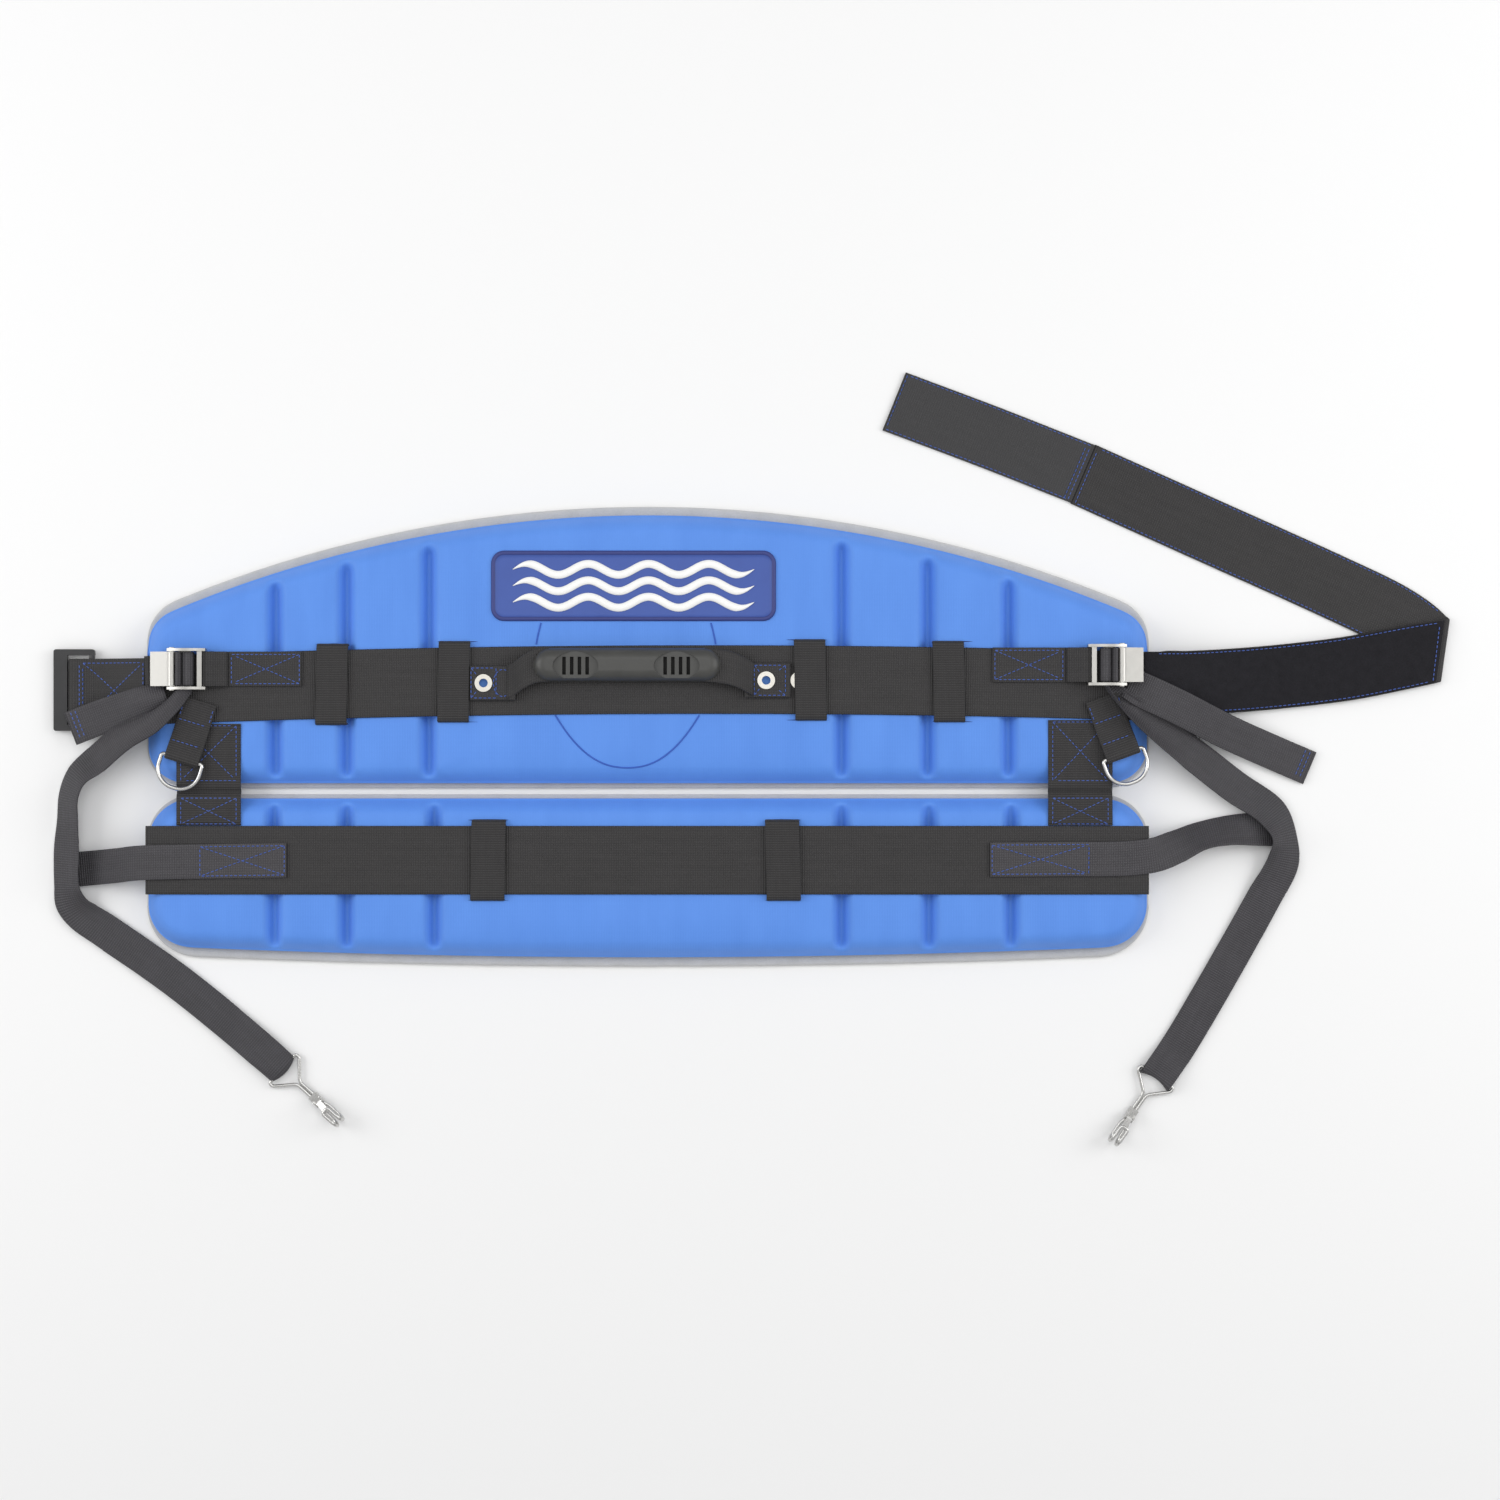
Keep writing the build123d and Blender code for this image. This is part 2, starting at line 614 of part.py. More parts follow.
# The strap's free end beyond the buckle, and the branch sewn on the seat belt.
TAIL_ROUTE = {
    "left": (
        (-350, -6.5, 23.6, -69, 0, 12), (-366, -9, 23.8, -69, 0, 19), (-384, -14, 17.6, -69, 0, 24),
        (-402, -20.5, 11.4, -69, 0), (-423, -28.5, 10.0, -69, 0),
    ),
    "right": (
        (349, -3, 34.0, -115, 0, 11), (366, -7, 31.0, -115, 0, 20), (385, -14, 24.0, -115, 0),
        (425, -31, 11.0, -114, 0), (455, -44, 5.0, -113, 0), (486.5, -57.4, 2.0, -113, 0),
    ),
}
SEAT_STRAP_ROUTE = {
    "left": (
        (-263, -124.4, layer_mid, -90, 0), (-372, -126.5, layer_mid, -90, 0), (-388, -128.5, 16.0, -88, 0),
        (-402, -130, 8.5, -86, 0), (-411, -131, 5.0, -85, 0),
    ),
    "right": (
        (250, -124, layer_mid, -90, 0), (350, -123, layer_mid, -90, 0), (370, -120.5, layer_mid, -82, 0),
        (387, -114.5, 18.5, -70, 22),
        (405, -107, 13.0, -74, 38), (425, -104, 10.5, -84, 40),
    ),
}

for side in SIDE:
    hook_strap(side)
    save(ribbon(TAIL_ROUTE[side]), f"{side}_strap_tail")
    save(ribbon(SEAT_STRAP_ROUTE[side]), f"{side}_seat_strap")


# ---- Wire snap hooks ----------------------------------------------------------------------------
EYE_HALF = 14.6           # half the triangle's base, which holds the webbing
EYE_LONG = 15.5
SHANK_HALF = 1.35         # the two wires lie side by side along the shank
JAW_HALF = 2.9            # and spread again round the jaw
SHANK_END = 38.0
JAW_END = 58.0
JAW_TIP = 44.0
JAW_HIGH = 14.0
GATE_PIVOT = (37.0, 3.9)


def hook_plane(side, upright=False, offset=0.0):
    """At the hook's bar: local x along the hook. Upright, local y is up."""
    heading = radians(HOOK_HEADING[side])
    ahead = (cos(heading), sin(heading), 0)
    normal = (sin(heading), -cos(heading), 0)
    origin = Vector(*HOOK_AT[side], HOOK_BAR_Z) + Vector(*normal) * offset
    return Plane(origin=origin, x_dir=ahead, z_dir=normal if upright else (0, 0, 1))


def hook_wire(side):
    """One closed loop of spring wire: triangle eye, twin shank and a jaw that turns up and back."""
    near = [
        (0, EYE_HALF, 0), (3.6, EYE_HALF - 0.2, 0), (EYE_LONG, SHANK_HALF, 0), (SHANK_END, SHANK_HALF, 0),
        (SHANK_END + 5, JAW_HALF, 0), (JAW_END, JAW_HALF, 0), (JAW_END, JAW_HALF, JAW_HIGH),
        (JAW_TIP, JAW_HALF, JAW_HIGH),
    ]
    far = [(x, -y, z) for x, y, z in reversed(near)]
    bends = [1.6, 3.0, 6.0, 6.0, 6.0, 6.0, 6.0, 1.8]
    with BuildPart() as wire:
        with BuildLine(hook_plane(side)) as path:
            FilletPolyline(*near, *far, radius=bends + bends[::-1], close=True)
        loop = path.wire()
        with BuildSketch(Plane(origin=loop @ 0, z_dir=loop % 0)):
            Circle(HOOK_BAR_R)
        sweep(path=loop)
    save(wire.part, f"{side}_hook_wire")


def hook_collar(side):
    """Band crimped round the shank, with two ears for the gate's pivot."""
    half = SHANK_HALF + HOOK_BAR_R + 0.05
    with BuildPart() as collar:
        with BuildSketch(hook_plane(side, upright=True)):
            with Locations((33.5, 0)):
                Rectangle(9, 2 * HOOK_BAR_R + 1.7)
        extrude(amount=half + 0.8, both=True)
        with BuildSketch(hook_plane(side, upright=True)):
            with Locations((33.5, 0)):
                Rectangle(9, 2 * HOOK_BAR_R + 0.1)
        extrude(amount=half, both=True, mode=Mode.SUBTRACT)
        for face in (half, -half - 0.8):
            with BuildSketch(hook_plane(side, upright=True, offset=face)):
                with Locations((36.0, 3.0)):
                    RectangleRounded(6, 4.8, 1.2)
            extrude(amount=0.8)
        with BuildSketch(hook_plane(side, upright=True)):
            with Locations(GATE_PIVOT):
                Circle(0.6)
        extrude(amount=half + 0.8, both=True)
    save(collar.part, f"{side}_hook_collar")


def hook_gate(side):
    """Sprung latch: it closes the jaw from inside and swings in towards the shank."""
    px, pz = GATE_PIVOT
    with BuildPart() as gate:
        with BuildSketch(hook_plane(side, upright=True)):
            with Locations(GATE_PIVOT):
                Circle(1.5)
            with BuildLine():
                Polyline(
                    (px - 0.5, pz + 1.4), (JAW_TIP + 1.2, JAW_HIGH - 2.6), (JAW_TIP + 2.0, JAW_HIGH - 3.6),
                    (px + 0.9, pz - 0.6), close=True,
                )
            make_face()
            with Locations(GATE_PIVOT):
                Circle(0.65, mode=Mode.SUBTRACT)
        extrude(amount=2.2, both=True)
    save(gate.part, f"{side}_hook_gate")


for side in SIDE:
    hook_wire(side)
    hook_collar(side)
    hook_gate(side)


# ---- Waist belt ---------------------------------------------------------------------------------
SLIDE_BAR_X = -408.4
SLIDE_BAR_R = 2.0
SLIDE_Z = 3.9
SLIDE_LEFT = -436.4
SLIDE_HALF = 30.0
SLIDE_SLOT_HALF = 25.6
CREASE_AT = (584.4, 29.0)
CREASE_ANGLE = 82.0       # direction of the fold in plan
TAPE_T = 1.2

with BuildPart() as left_belt_loop:
    add(
        strip(
            (
                (-373, 16.4), (-396, 7.6), (-403.5, 0.85), (-422.8, 0.85),
                (-425.0, 3.9), (-422.8, 7.0), (-404, 7.0), (-400, 8.1), (-366.5, PAD_TOP + WEB / 2),
            ),
            WEB, belt_middle(-366), WAIST_WIDTH,
        )
    )
save(left_belt_loop.part, "left_belt_loop")

with BuildPart() as slide_loop:
    with BuildSketch(Plane.XY.offset(SLIDE_Z - 2)):
        with BuildLine():
            Polyline(
                (SLIDE_LEFT, SLIDE_HALF), (SLIDE_BAR_X + 2, SLIDE_HALF), (SLIDE_BAR_X + 2, SLIDE_SLOT_HALF),
                (SLIDE_LEFT + 10, SLIDE_SLOT_HALF), (SLIDE_LEFT + 10, -SLIDE_SLOT_HALF),
                (SLIDE_BAR_X + 2, -SLIDE_SLOT_HALF), (SLIDE_BAR_X + 2, -SLIDE_HALF),
                (SLIDE_LEFT, -SLIDE_HALF), close=True,
            )
        make_face()
    extrude(amount=4)
    fillet(slide_loop.edges().filter_by(Axis.Z).group_by(Axis.Y)[0], 1.9)
    fillet(slide_loop.edges().filter_by(Axis.Z).group_by(Axis.Y)[-1], 1.9)
    with BuildSketch(Plane.XZ):
        with Locations((SLIDE_BAR_X, SLIDE_Z)):
            Circle(SLIDE_BAR_R)
    extrude(amount=SLIDE_SLOT_HALF + 1, both=True)
save(slide_loop.part, "slide_loop")

WAIST_ROUTE = (
    (366.1, belt_middle(366), PAD_TOP + WEB / 2, 90, 0), (378, 4.8, 20.0, 91, 0), (395, 5, 15.0, 92, 0),
    (430, 7, 6.0, 93, 0), (455, 9, 3.2, 95, 0), (515, 16, 2.9, 97, 0),
    (CREASE_AT[0], CREASE_AT[1], 2.9, CREASE_ANGLE, 0),
)
TAPE_START = (372, 4.7, 20.6, 90, 0)
TAPE_END = (582, 28.6, 2.9, CREASE_ANGLE, 0)
TAPE_ROUTE = tuple(
    (x, y, z + WEB / 2 + TAPE_T / 2 + 0.14, across, lean)
    for x, y, z, across, lean in (TAPE_START, *WAIST_ROUTE[1:-1], TAPE_END)
)
save(ribbon(WAIST_ROUTE, WAIST_WIDTH, WEB), "waist_belt")
save(ribbon(TAPE_ROUTE, WAIST_WIDTH - 3, TAPE_T), "loop_tape")

# The belt's end, folded under at the crease: straight, then turned a little at the sewn joint.
SEAM_AT = (320.0, 159.0)
TIP_AT = (181.0, 212.5)
SEAM_ACROSS = 67.0
with BuildPart() as waist_belt_tail:
    add(
        ribbon(
            (
                (CREASE_AT[0] - 1.5, CREASE_AT[1] + 8, WEB / 2, CREASE_ANGLE, 0),
                (545, 57.5, WEB / 2, 65, 0), (SEAM_AT[0], SEAM_AT[1], WEB / 2, SEAM_ACROSS, 0),
            ),
            46, WEB,
        )
    )
save(waist_belt_tail.part, "waist_belt_tail")
save(
    ribbon(((SEAM_AT[0] - 0.1, SEAM_AT[1], 0.95, SEAM_ACROSS, 0), (*TIP_AT, 0.95, 68, 0)), 46, 1.9),
    "hook_tape",
)
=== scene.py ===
"""Looks of the fishing harness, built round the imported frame. Everything is in metres.

Webbing is described by stations: x, y, z, the direction across it in plan, the lean that lifts that edge
(both in degrees) and, where it is bunched, its width.
"""
from math import cos, hypot, pi, radians, sin, sqrt

import bpy
import numpy as np
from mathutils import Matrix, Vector

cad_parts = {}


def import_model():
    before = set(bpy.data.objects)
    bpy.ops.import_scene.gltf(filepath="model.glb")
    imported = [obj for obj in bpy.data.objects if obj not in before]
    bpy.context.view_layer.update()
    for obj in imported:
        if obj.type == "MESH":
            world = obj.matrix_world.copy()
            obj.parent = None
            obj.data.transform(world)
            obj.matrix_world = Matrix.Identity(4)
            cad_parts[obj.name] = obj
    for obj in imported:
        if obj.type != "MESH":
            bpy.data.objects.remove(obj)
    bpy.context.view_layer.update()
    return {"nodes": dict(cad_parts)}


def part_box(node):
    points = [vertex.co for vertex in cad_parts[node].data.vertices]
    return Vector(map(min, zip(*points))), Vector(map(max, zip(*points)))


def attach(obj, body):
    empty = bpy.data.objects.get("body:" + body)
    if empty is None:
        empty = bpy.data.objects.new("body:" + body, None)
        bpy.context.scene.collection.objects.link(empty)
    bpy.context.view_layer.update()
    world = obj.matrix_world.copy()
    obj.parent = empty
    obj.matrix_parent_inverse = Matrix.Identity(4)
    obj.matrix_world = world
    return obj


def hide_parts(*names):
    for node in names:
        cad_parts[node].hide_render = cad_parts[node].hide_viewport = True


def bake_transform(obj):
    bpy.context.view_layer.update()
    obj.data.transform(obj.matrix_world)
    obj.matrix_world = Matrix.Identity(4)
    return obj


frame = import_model()
nodes = frame["nodes"]

# ---- Sizes ----
PAD_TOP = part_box("back_belt")[0].z  # the belts lie on the pads
BELT_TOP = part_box("seat_belt")[1].z
WEB = 0.0016
WEB_THIN = 0.0015
STRAP = 0.0254
WAIST_WIDTH = 0.047
STEP = 0.003  # length of one mesh ring along webbing,
FINE_STEP = 0.0018  # where it turns round a bar
STRAP_STEP = 0.0025  # and on the hook straps
SEWN = BELT_TOP + 0.00005 + WEB_THIN / 2  # middle of webbing sewn on a belt

PAD_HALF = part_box("back_lining")[1].x
GROOVE_HALF = 0.0085
GROOVE_DEPTH = 0.0072
GROOVE_CORE = (0.0048, 0.0040)  # narrow cleft along a groove's bottom: half width and depth
RIM_DROP = 0.0095  # the cover's edge, below the panels
RIM_FLANGE = 0.0012
RIM_SLOPE = 0.0115
SWELL_FRAMES = 20
PUFF_CAP = 0.0022  # how far the pressure may lift a panel
HELD_RIM = 0.004  # the cover's cloth can't swell this near to its rim,
HELD_GROOVE = 0.0055  # this near to a groove's middle line,
HELD_BELT = 0.029  # this near to the belt's middle line,
HELD_BADGE = 0.003  # or within this margin of the badge
LINING_ROLL = 0.0017  # radius of the lining's turned edge
LINING_CHANNEL = (0.0011, 0.006)  # depth and half width of the channels behind the grooves
LINING_SEAM = (0.0007, 0.009, 0.003)  # depth, distance from the rim and half width

BELT_WIDTH = 0.050
BELT_HALF = 0.366  # half the length of the wide belts
BELT_Y = 0.0073  # the back belt's middle, how far its ends sag and its tilt
BELT_BOW = 0.0063
BELT_TILT = 0.0015

SIDES = {"left": -1, "right": 1}
CORNERS = ((-1, -1), (1, -1), (1, 1), (-1, 1))


# ---- Materials ----
class Paint:
    """One material and the texture nodes that feed its shader."""

    def __init__(self, name, colour, roughness, metallic=0.0, **sockets):
        self.material = bpy.data.materials.new(name)
        self.material.use_nodes = True
        self.tree = self.material.node_tree
        self.shader = self.tree.nodes["Principled BSDF"]
        self.set("Base Color", (*colour, 1))
        self.set("Roughness", roughness)
        self.set("Metallic", metallic)
        for socket, value in sockets.items():
            self.set(socket.replace("_", " "), value)
        self.normal = None

    def set(self, socket, value):
        self.shader.inputs[socket].default_value = value

    def node(self, kind, links=(), **values):
        made = self.tree.nodes.new(kind)
        for name, value in values.items():
            setattr(made, name, value)
        for socket, source in links:
            if isinstance(source, (int, float, tuple)):
                made.inputs[socket].default_value = source
            else:
                self.tree.links.new(source, made.inputs[socket])
        return made

    def place(self, output="Object", stretch=(1, 1, 1)):
        coords = self.node("ShaderNodeTexCoord").outputs[output]
        return self.node("ShaderNodeMapping", [("Vector", coords), ("Scale", stretch)]).outputs[0]

    def noise(self, place, size, detail=3.0):
        """Noise whose blotches are about size metres across."""
        links = [("Vector", place), ("Scale", 1 / size), ("Detail", detail)]
        return self.node("ShaderNodeTexNoise", links).outputs["Fac"]

    def ribs(self, place, direction, period):
        links = [("Vector", place), ("Scale", pi / 10 / period)]
        return self.node("ShaderNodeTexWave", links, bands_direction=direction).outputs["Fac"]

    def math(self, operation, a, b):
        return self.node("ShaderNodeMath", [(0, a), (1, b)], operation=operation).outputs[0]

    def colour(self, factor, low, high):
        mixed = self.node("ShaderNodeMix", [(0, factor), (6, (*low, 1)), (7, (*high, 1))], data_type="RGBA")
        self.tree.links.new(mixed.outputs[2], self.shader.inputs["Base Color"])

    def rough(self, factor, low, high):
        span = self.node("ShaderNodeMapRange", [("Value", factor), ("To Min", low), ("To Max", high)])
        self.tree.links.new(span.outputs[0], self.shader.inputs["Roughness"])

    def bump(self, height, depth, strength=1.0):
        links = [("Height", height), ("Distance", depth), ("Strength", strength)]
        if self.normal:
            links.append(("Normal", self.normal))
        self.normal = self.node("ShaderNodeBump", links).outputs[0]
        self.tree.links.new(self.normal, self.shader.inputs["Normal"])


def cover_fabric():
    """Blue laminated polyester over moulded foam: fine knit, faint streaks from moulding."""
    paint = Paint("cover_fabric", (0.09, 0.26, 0.76), 0.62, Sheen_Weight=0.16, Sheen_Roughness=0.5)
    place = paint.place()
    knit = paint.math("MULTIPLY", paint.ribs(place, "X", 0.0012), paint.ribs(place, "Y", 0.0009))
    streaks = paint.noise(paint.place(stretch=(1, 0.25, 1)), 0.02)
    shade = paint.math("ADD", paint.math("MULTIPLY", knit, 0.25), paint.math("MULTIPLY", streaks, 0.75))
    paint.colour(shade, (0.068, 0.216, 0.67), (0.102, 0.286, 0.80))
    paint.bump(streaks, 0.0004, 0.5)
    paint.bump(knit, 0.00012, 0.6)
    return paint.material


def lining_fabric():
    """Grey brushed knit."""
    paint = Paint("lining_fabric", (0.5, 0.5, 0.5), 0.95, Sheen_Weight=0.5, Sheen_Roughness=0.6)
    place = paint.place()
    fuzz = paint.noise(place, 0.0009, 5.0)
    patches = paint.noise(place, 0.012)
    shade = paint.math("MULTIPLY", paint.math("ADD", fuzz, patches), 0.5)
    paint.colour(shade, (0.34, 0.345, 0.355), (0.55, 0.555, 0.57))
    paint.bump(patches, 0.0008, 0.5)
    paint.bump(fuzz, 0.0004, 0.9)
    return paint.material


def webbing_fabric(name, low, high, shine=0.58):
    """Heavy polyester webbing: ribs across it and warp rows along it. U is across and V is along."""
    paint = Paint(name, low, shine, Sheen_Weight=0.04, Sheen_Roughness=0.4, Specular_IOR_Level=0.32)
    place = paint.place("UV")
    across = paint.ribs(place, "Y", 0.0017)
    along = paint.ribs(place, "X", 0.0018)
    weave = paint.math("MULTIPLY", across, paint.math("ADD", paint.math("MULTIPLY", along, 0.6), 0.4))
    worn = paint.noise(place, 0.018)
    rows = paint.noise(paint.place("UV", (1.0, 0.06, 1)), 0.0035)
    shade = paint.math("ADD", paint.math("MULTIPLY", worn, 0.4), paint.math("MULTIPLY", rows, 0.3))
    shade = paint.math("ADD", shade, paint.math("MULTIPLY", weave, 0.55))
    paint.colour(shade, low, high)
    paint.rough(worn, shine - 0.08, shine + 0.12)
    paint.bump(worn, 0.0006, 0.4)
    paint.bump(weave, 0.0004, 0.9)
    return paint.material


def pile_fabric():
    """Loop tape: a matt black nap of tiny loops."""
    paint = Paint("loop_pile", (0.01, 0.01, 0.012), 0.98, Sheen_Weight=0.05, Sheen_Roughness=0.7,
                  Specular_IOR_Level=0.15)
    place = paint.place()
    loops = paint.noise(place, 0.0011, 6.0)
    tufts = paint.noise(place, 0.006)
    shade = paint.math("MULTIPLY", paint.math("ADD", loops, tufts), 0.5)
    paint.colour(shade, (0.003, 0.003, 0.004), (0.020, 0.019, 0.024))
    paint.bump(tufts, 0.0008, 0.5)
    paint.bump(loops, 0.0007, 1.0)
    return paint.material


def thread_fabric(name, colour):
    paint = Paint(name, colour, 0.5, Sheen_Weight=0.3)
    twist = paint.noise(paint.place(), 0.0012)
    paint.colour(twist, [c * 0.6 for c in colour], [min(1, c * 1.25) for c in colour])
    paint.bump(twist, 0.0002, 0.6)
    return paint.material


def steel(name, colour, low, high):
    """Polished stainless steel with fine brushed scratches."""
    paint = Paint(name, colour, low, 1.0)
    scratches = paint.noise(paint.place(stretch=(1, 0.08, 1)), 0.0005)
    smears = paint.noise(paint.place(), 0.006)
    paint.rough(smears, low, high)
    paint.colour(smears, [c * 0.85 for c in colour], colour)
    paint.bump(scratches, 0.00005, 0.35)
    return paint.material


def moulded(name, low, high, roughness):
    """Rubber or plastic with a fine moulded texture."""
    paint = Paint(name, low, roughness)
    place = paint.place()
    grain = paint.noise(place, 0.0007, 4.0)
    rubbed = paint.noise(place, 0.015)
    paint.colour(rubbed, low, high)
    paint.rough(rubbed, roughness - 0.08, roughness + 0.1)
    paint.bump(grain, 0.00012, 0.5)
    return paint.material


COVER = cover_fabric()
LINING = lining_fabric()
WEBBING = webbing_fabric("webbing", (0.010, 0.0095, 0.010), (0.047, 0.045, 0.0455))
STRAPPING = webbing_fabric("strapping", (0.019, 0.018, 0.0205), (0.074, 0.071, 0.079), 0.5)
TAPE_BACK = webbing_fabric("tape_back", (0.026, 0.026, 0.0275), (0.054, 0.053, 0.055), 0.6)
PILE = pile_fabric()
BLUE_THREAD = thread_fabric("blue_thread", (0.04, 0.10, 0.42))
# Darker blue painted as the shade in the fine lines pressed into the cover.
CREASE_SHADE = moulded("crease_shade", (0.03, 0.09, 0.42), (0.04, 0.12, 0.5), 0.8)
# Near-black blue painted as the shade inside the keepers' slits in the cover.
SLIT_SHADE = moulded("slit_shade", (0.008, 0.02, 0.12), (0.012, 0.03, 0.16), 0.9)
STEEL = steel("polished_steel", (0.64, 0.635, 0.62), 0.2, 0.34)
SATIN = steel("satin_steel", (0.50, 0.49, 0.465), 0.34, 0.48)
SPRING = steel("spring_steel", (0.5, 0.5, 0.5), 0.3, 0.45)
EYELET = steel("eyelet_steel", (0.62, 0.60, 0.55), 0.3, 0.45)
GRIP = moulded("grip_rubber", (0.034, 0.034, 0.032), (0.058, 0.058, 0.054), 0.42)
SHADE = moulded("slot_shade", (0.006, 0.006, 0.006), (0.010, 0.010, 0.010), 0.95)
PLASTIC = moulded("black_plastic", (0.016, 0.016, 0.017), (0.028, 0.028, 0.03), 0.4)
BADGE = moulded("badge_blue", (0.034, 0.074, 0.31), (0.050, 0.100, 0.37), 0.55)
BADGE_EDGE = moulded("badge_edge", (0.02, 0.03, 0.17), (0.03, 0.045, 0.2), 0.5)
BADGE_WHITE = moulded("badge_white", (0.84, 0.84, 0.82), (0.9, 0.9, 0.89), 0.5)


# ---- Mesh helpers ----
def link(made):
    bpy.context.scene.collection.objects.link(made)


def repaint(name, material):
    """Gives a carried-over part of the CAD its look."""
    nodes[name].data.materials.clear()
    nodes[name].data.materials.append(material)


def make_piece(name, points, faces, material, uvs=None):
    """A smooth-shaded mesh object; uvs has one pair for each point."""
    mesh = bpy.data.meshes.new(name)
    mesh.from_pydata([tuple(p) for p in points], [], faces)
    mesh.materials.append(material)
    mesh.polygons.foreach_set("use_smooth", [True] * len(mesh.polygons))
    if uvs is not None:
        layer = mesh.uv_layers.new(name="Cloth")
        picked = [uvs[loop.vertex_index] for loop in mesh.loops]
        layer.data.foreach_set("uv", np.array(picked, np.float32).ravel())
    mesh.update()
    piece = bpy.data.objects.new(name, mesh)
    link(piece)
    return piece


def tube_faces(rings, around, flip=False):
    """Faces of a closed skin over rings of points, with a face on each end."""
    faces = []
    for i in range(rings - 1):
        for j in range(around):
            a, b = i * around + j, i * around + (j + 1) % around
            faces.append((a, a + around, b + around, b) if flip else (a, b, b + around, a + around))
    ends = tuple(range(around))[::-1], tuple(range((rings - 1) * around, rings * around))
    return faces + [end[::-1] if flip else end for end in ends]


def apply_modifiers(piece):
    """Swaps the piece's mesh for what its modifiers make of it."""
    bpy.context.view_layer.update()
    graph = bpy.context.evaluated_depsgraph_get()
    mesh = bpy.data.meshes.new_from_object(piece.evaluated_get(graph))
    piece.modifiers.clear()
    piece.data = mesh


def subdivide(piece, levels=1):
    piece.modifiers.new("smooth", "SUBSURF").levels = levels
    apply_modifiers(piece)


def finish_piece(piece, body, slot, *replaced):
    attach(piece, body)
    if replaced:
        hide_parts(*replaced)
    return piece


def unit(rows):
    return rows / np.linalg.norm(rows, axis=1)[:, None]


def smooth_rows(rows, step=STEP):
    """Rows of numbers, the first three a place, joined by a centripetal spline and read every step."""
    rows = np.array(rows, float)
    ends = np.vstack([2 * rows[0] - rows[1], rows, 2 * rows[-1] - rows[-2]])
    spans = np.linalg.norm(np.diff(ends[:, :3], axis=0), axis=1)
    knots = np.concatenate([[0], np.cumsum(np.sqrt(spans))])
    found = []
    for i in range(1, len(ends) - 2):
        count = max(2, round(spans[i] / step))
        for t in np.linspace(knots[i], knots[i + 1], count, endpoint=False):
            found.append(spline_point(ends[i - 1:i + 3], knots[i - 1:i + 3], t))
    found.append(rows[-1])
    return np.array(found)


def spline_point(rows, knots, t):
    """Barry and Goldman's pyramid for the middle span of a Catmull-Rom spline through four rows."""
    for level in range(3):
        below = (0, 0, 1)[level]
        above = (1, 2, 2)[level]
        made = []
        for j in range(3 - level):
            share = (t - knots[j + below]) / (knots[j + above] - knots[j + below])
            made.append(rows[j] * (1 - share) + rows[j + 1] * share)
        rows = made
    return rows[0]


# ---- Webbing ----
SECTION = (-1, -0.97, -0.9, -0.6, -0.3, 0, 0.3, 0.6, 0.9, 0.97, 1)  # places across the webbing
SELVEDGE = (0.35, 0.85, 1, 0.94, 0.94, 0.94, 0.94, 0.94, 1, 0.85, 0.35)


class Band:
    """A length of webbing: its middle line, its edges' direction and its mesh."""

    def __init__(self, name, route, width, thick, material=None, step=STEP):
        rows = [self.row(station, width) for station in route]
        line = smooth_rows(rows, step)
        self.middle, self.edge, self.wide = line[:, :3], unit(line[:, 3:6]), line[:, 6]
        along = np.gradient(self.middle, axis=0)
        along -= self.edge * (along * self.edge).sum(1)[:, None]
        self.normal = np.cross(unit(along), self.edge)
        runs = np.linalg.norm(np.diff(self.middle, axis=0), axis=1)
        self.reach = np.concatenate([[0], np.cumsum(runs)])
        self.length, self.width, self.thick = self.reach[-1], width, thick
        spare = np.maximum(width / self.wide - 1, 0)
        self.cup = self.wide * np.sqrt(0.375 * spare)
        sunk = np.abs(self.edge[:, 2]) * self.wide / 2
        sunk = sunk + np.abs(self.normal[:, 2]) * (thick / 2 + self.cup * 2 / 3)
        self.middle[:, 2] += np.maximum(sunk - self.middle[:, 2], 0)
        self.piece = self.build(name, material or WEBBING)

    def sew(self, body, *replaced):
        finish_piece(self.piece, body, "webbing", *replaced)

    @staticmethod
    def row(station, width):
        across, lean = radians(station[3]), radians(station[4])
        edge = (cos(across) * cos(lean), sin(across) * cos(lean), sin(lean))
        return (*station[:3], *edge, station[5] if len(station) > 5 else width)

    def ring(self, i):
        """Points round the webbing at one place along it: upper face, then lower face back again."""
        for face in (1, -1):
            for s, full in list(zip(SECTION, SELVEDGE))[::face]:
                rise = face * full * self.thick / 2 + self.cup[i] * (1 / 3 - s * s)
                yield self.middle[i] + self.edge[i] * s * self.wide[i] / 2 + self.normal[i] * rise, s

    def build(self, name, material):
        points, uvs = [], []
        for i in range(len(self.middle)):
            for point, s in self.ring(i):
                points.append(point)
                uvs.append((s * self.width / 2, self.reach[i]))
        return make_piece(name, points, tube_faces(len(self.middle), 2 * len(SECTION)), material, uvs)

    def at(self, s, distance):
        """A point on the upper face and the direction out of it: s is -1 to 1 across, distance is along."""
        distance = min(max(distance, 0), self.length)
        i = min(max(int(np.searchsorted(self.reach, distance)) - 1, 0), len(self.reach) - 2)
        t = (distance - self.reach[i]) / (self.reach[i + 1] - self.reach[i])
        middle = self.middle[i] * (1 - t) + self.middle[i + 1] * t
        edge, normal = self.edge[i], self.normal[i]
        up = 1 if normal[2] >= 0 else -1
        lift = up * self.thick / 2 + self.cup[i] * (1 / 3 - s * s)
        return middle + edge * s * self.wide[i] / 2 + normal * lift, normal * up


def side_route(origin, heading, profile, tilt=0.0):
    """Stations of webbing that bends only in the upright plane through origin, seen from above at heading."""
    ahead = (cos(radians(heading)), sin(radians(heading)))
    for along, up in profile:
        yield origin[0] + ahead[0] * along, origin[1] + ahead[1] * along, up, heading + 90, tilt


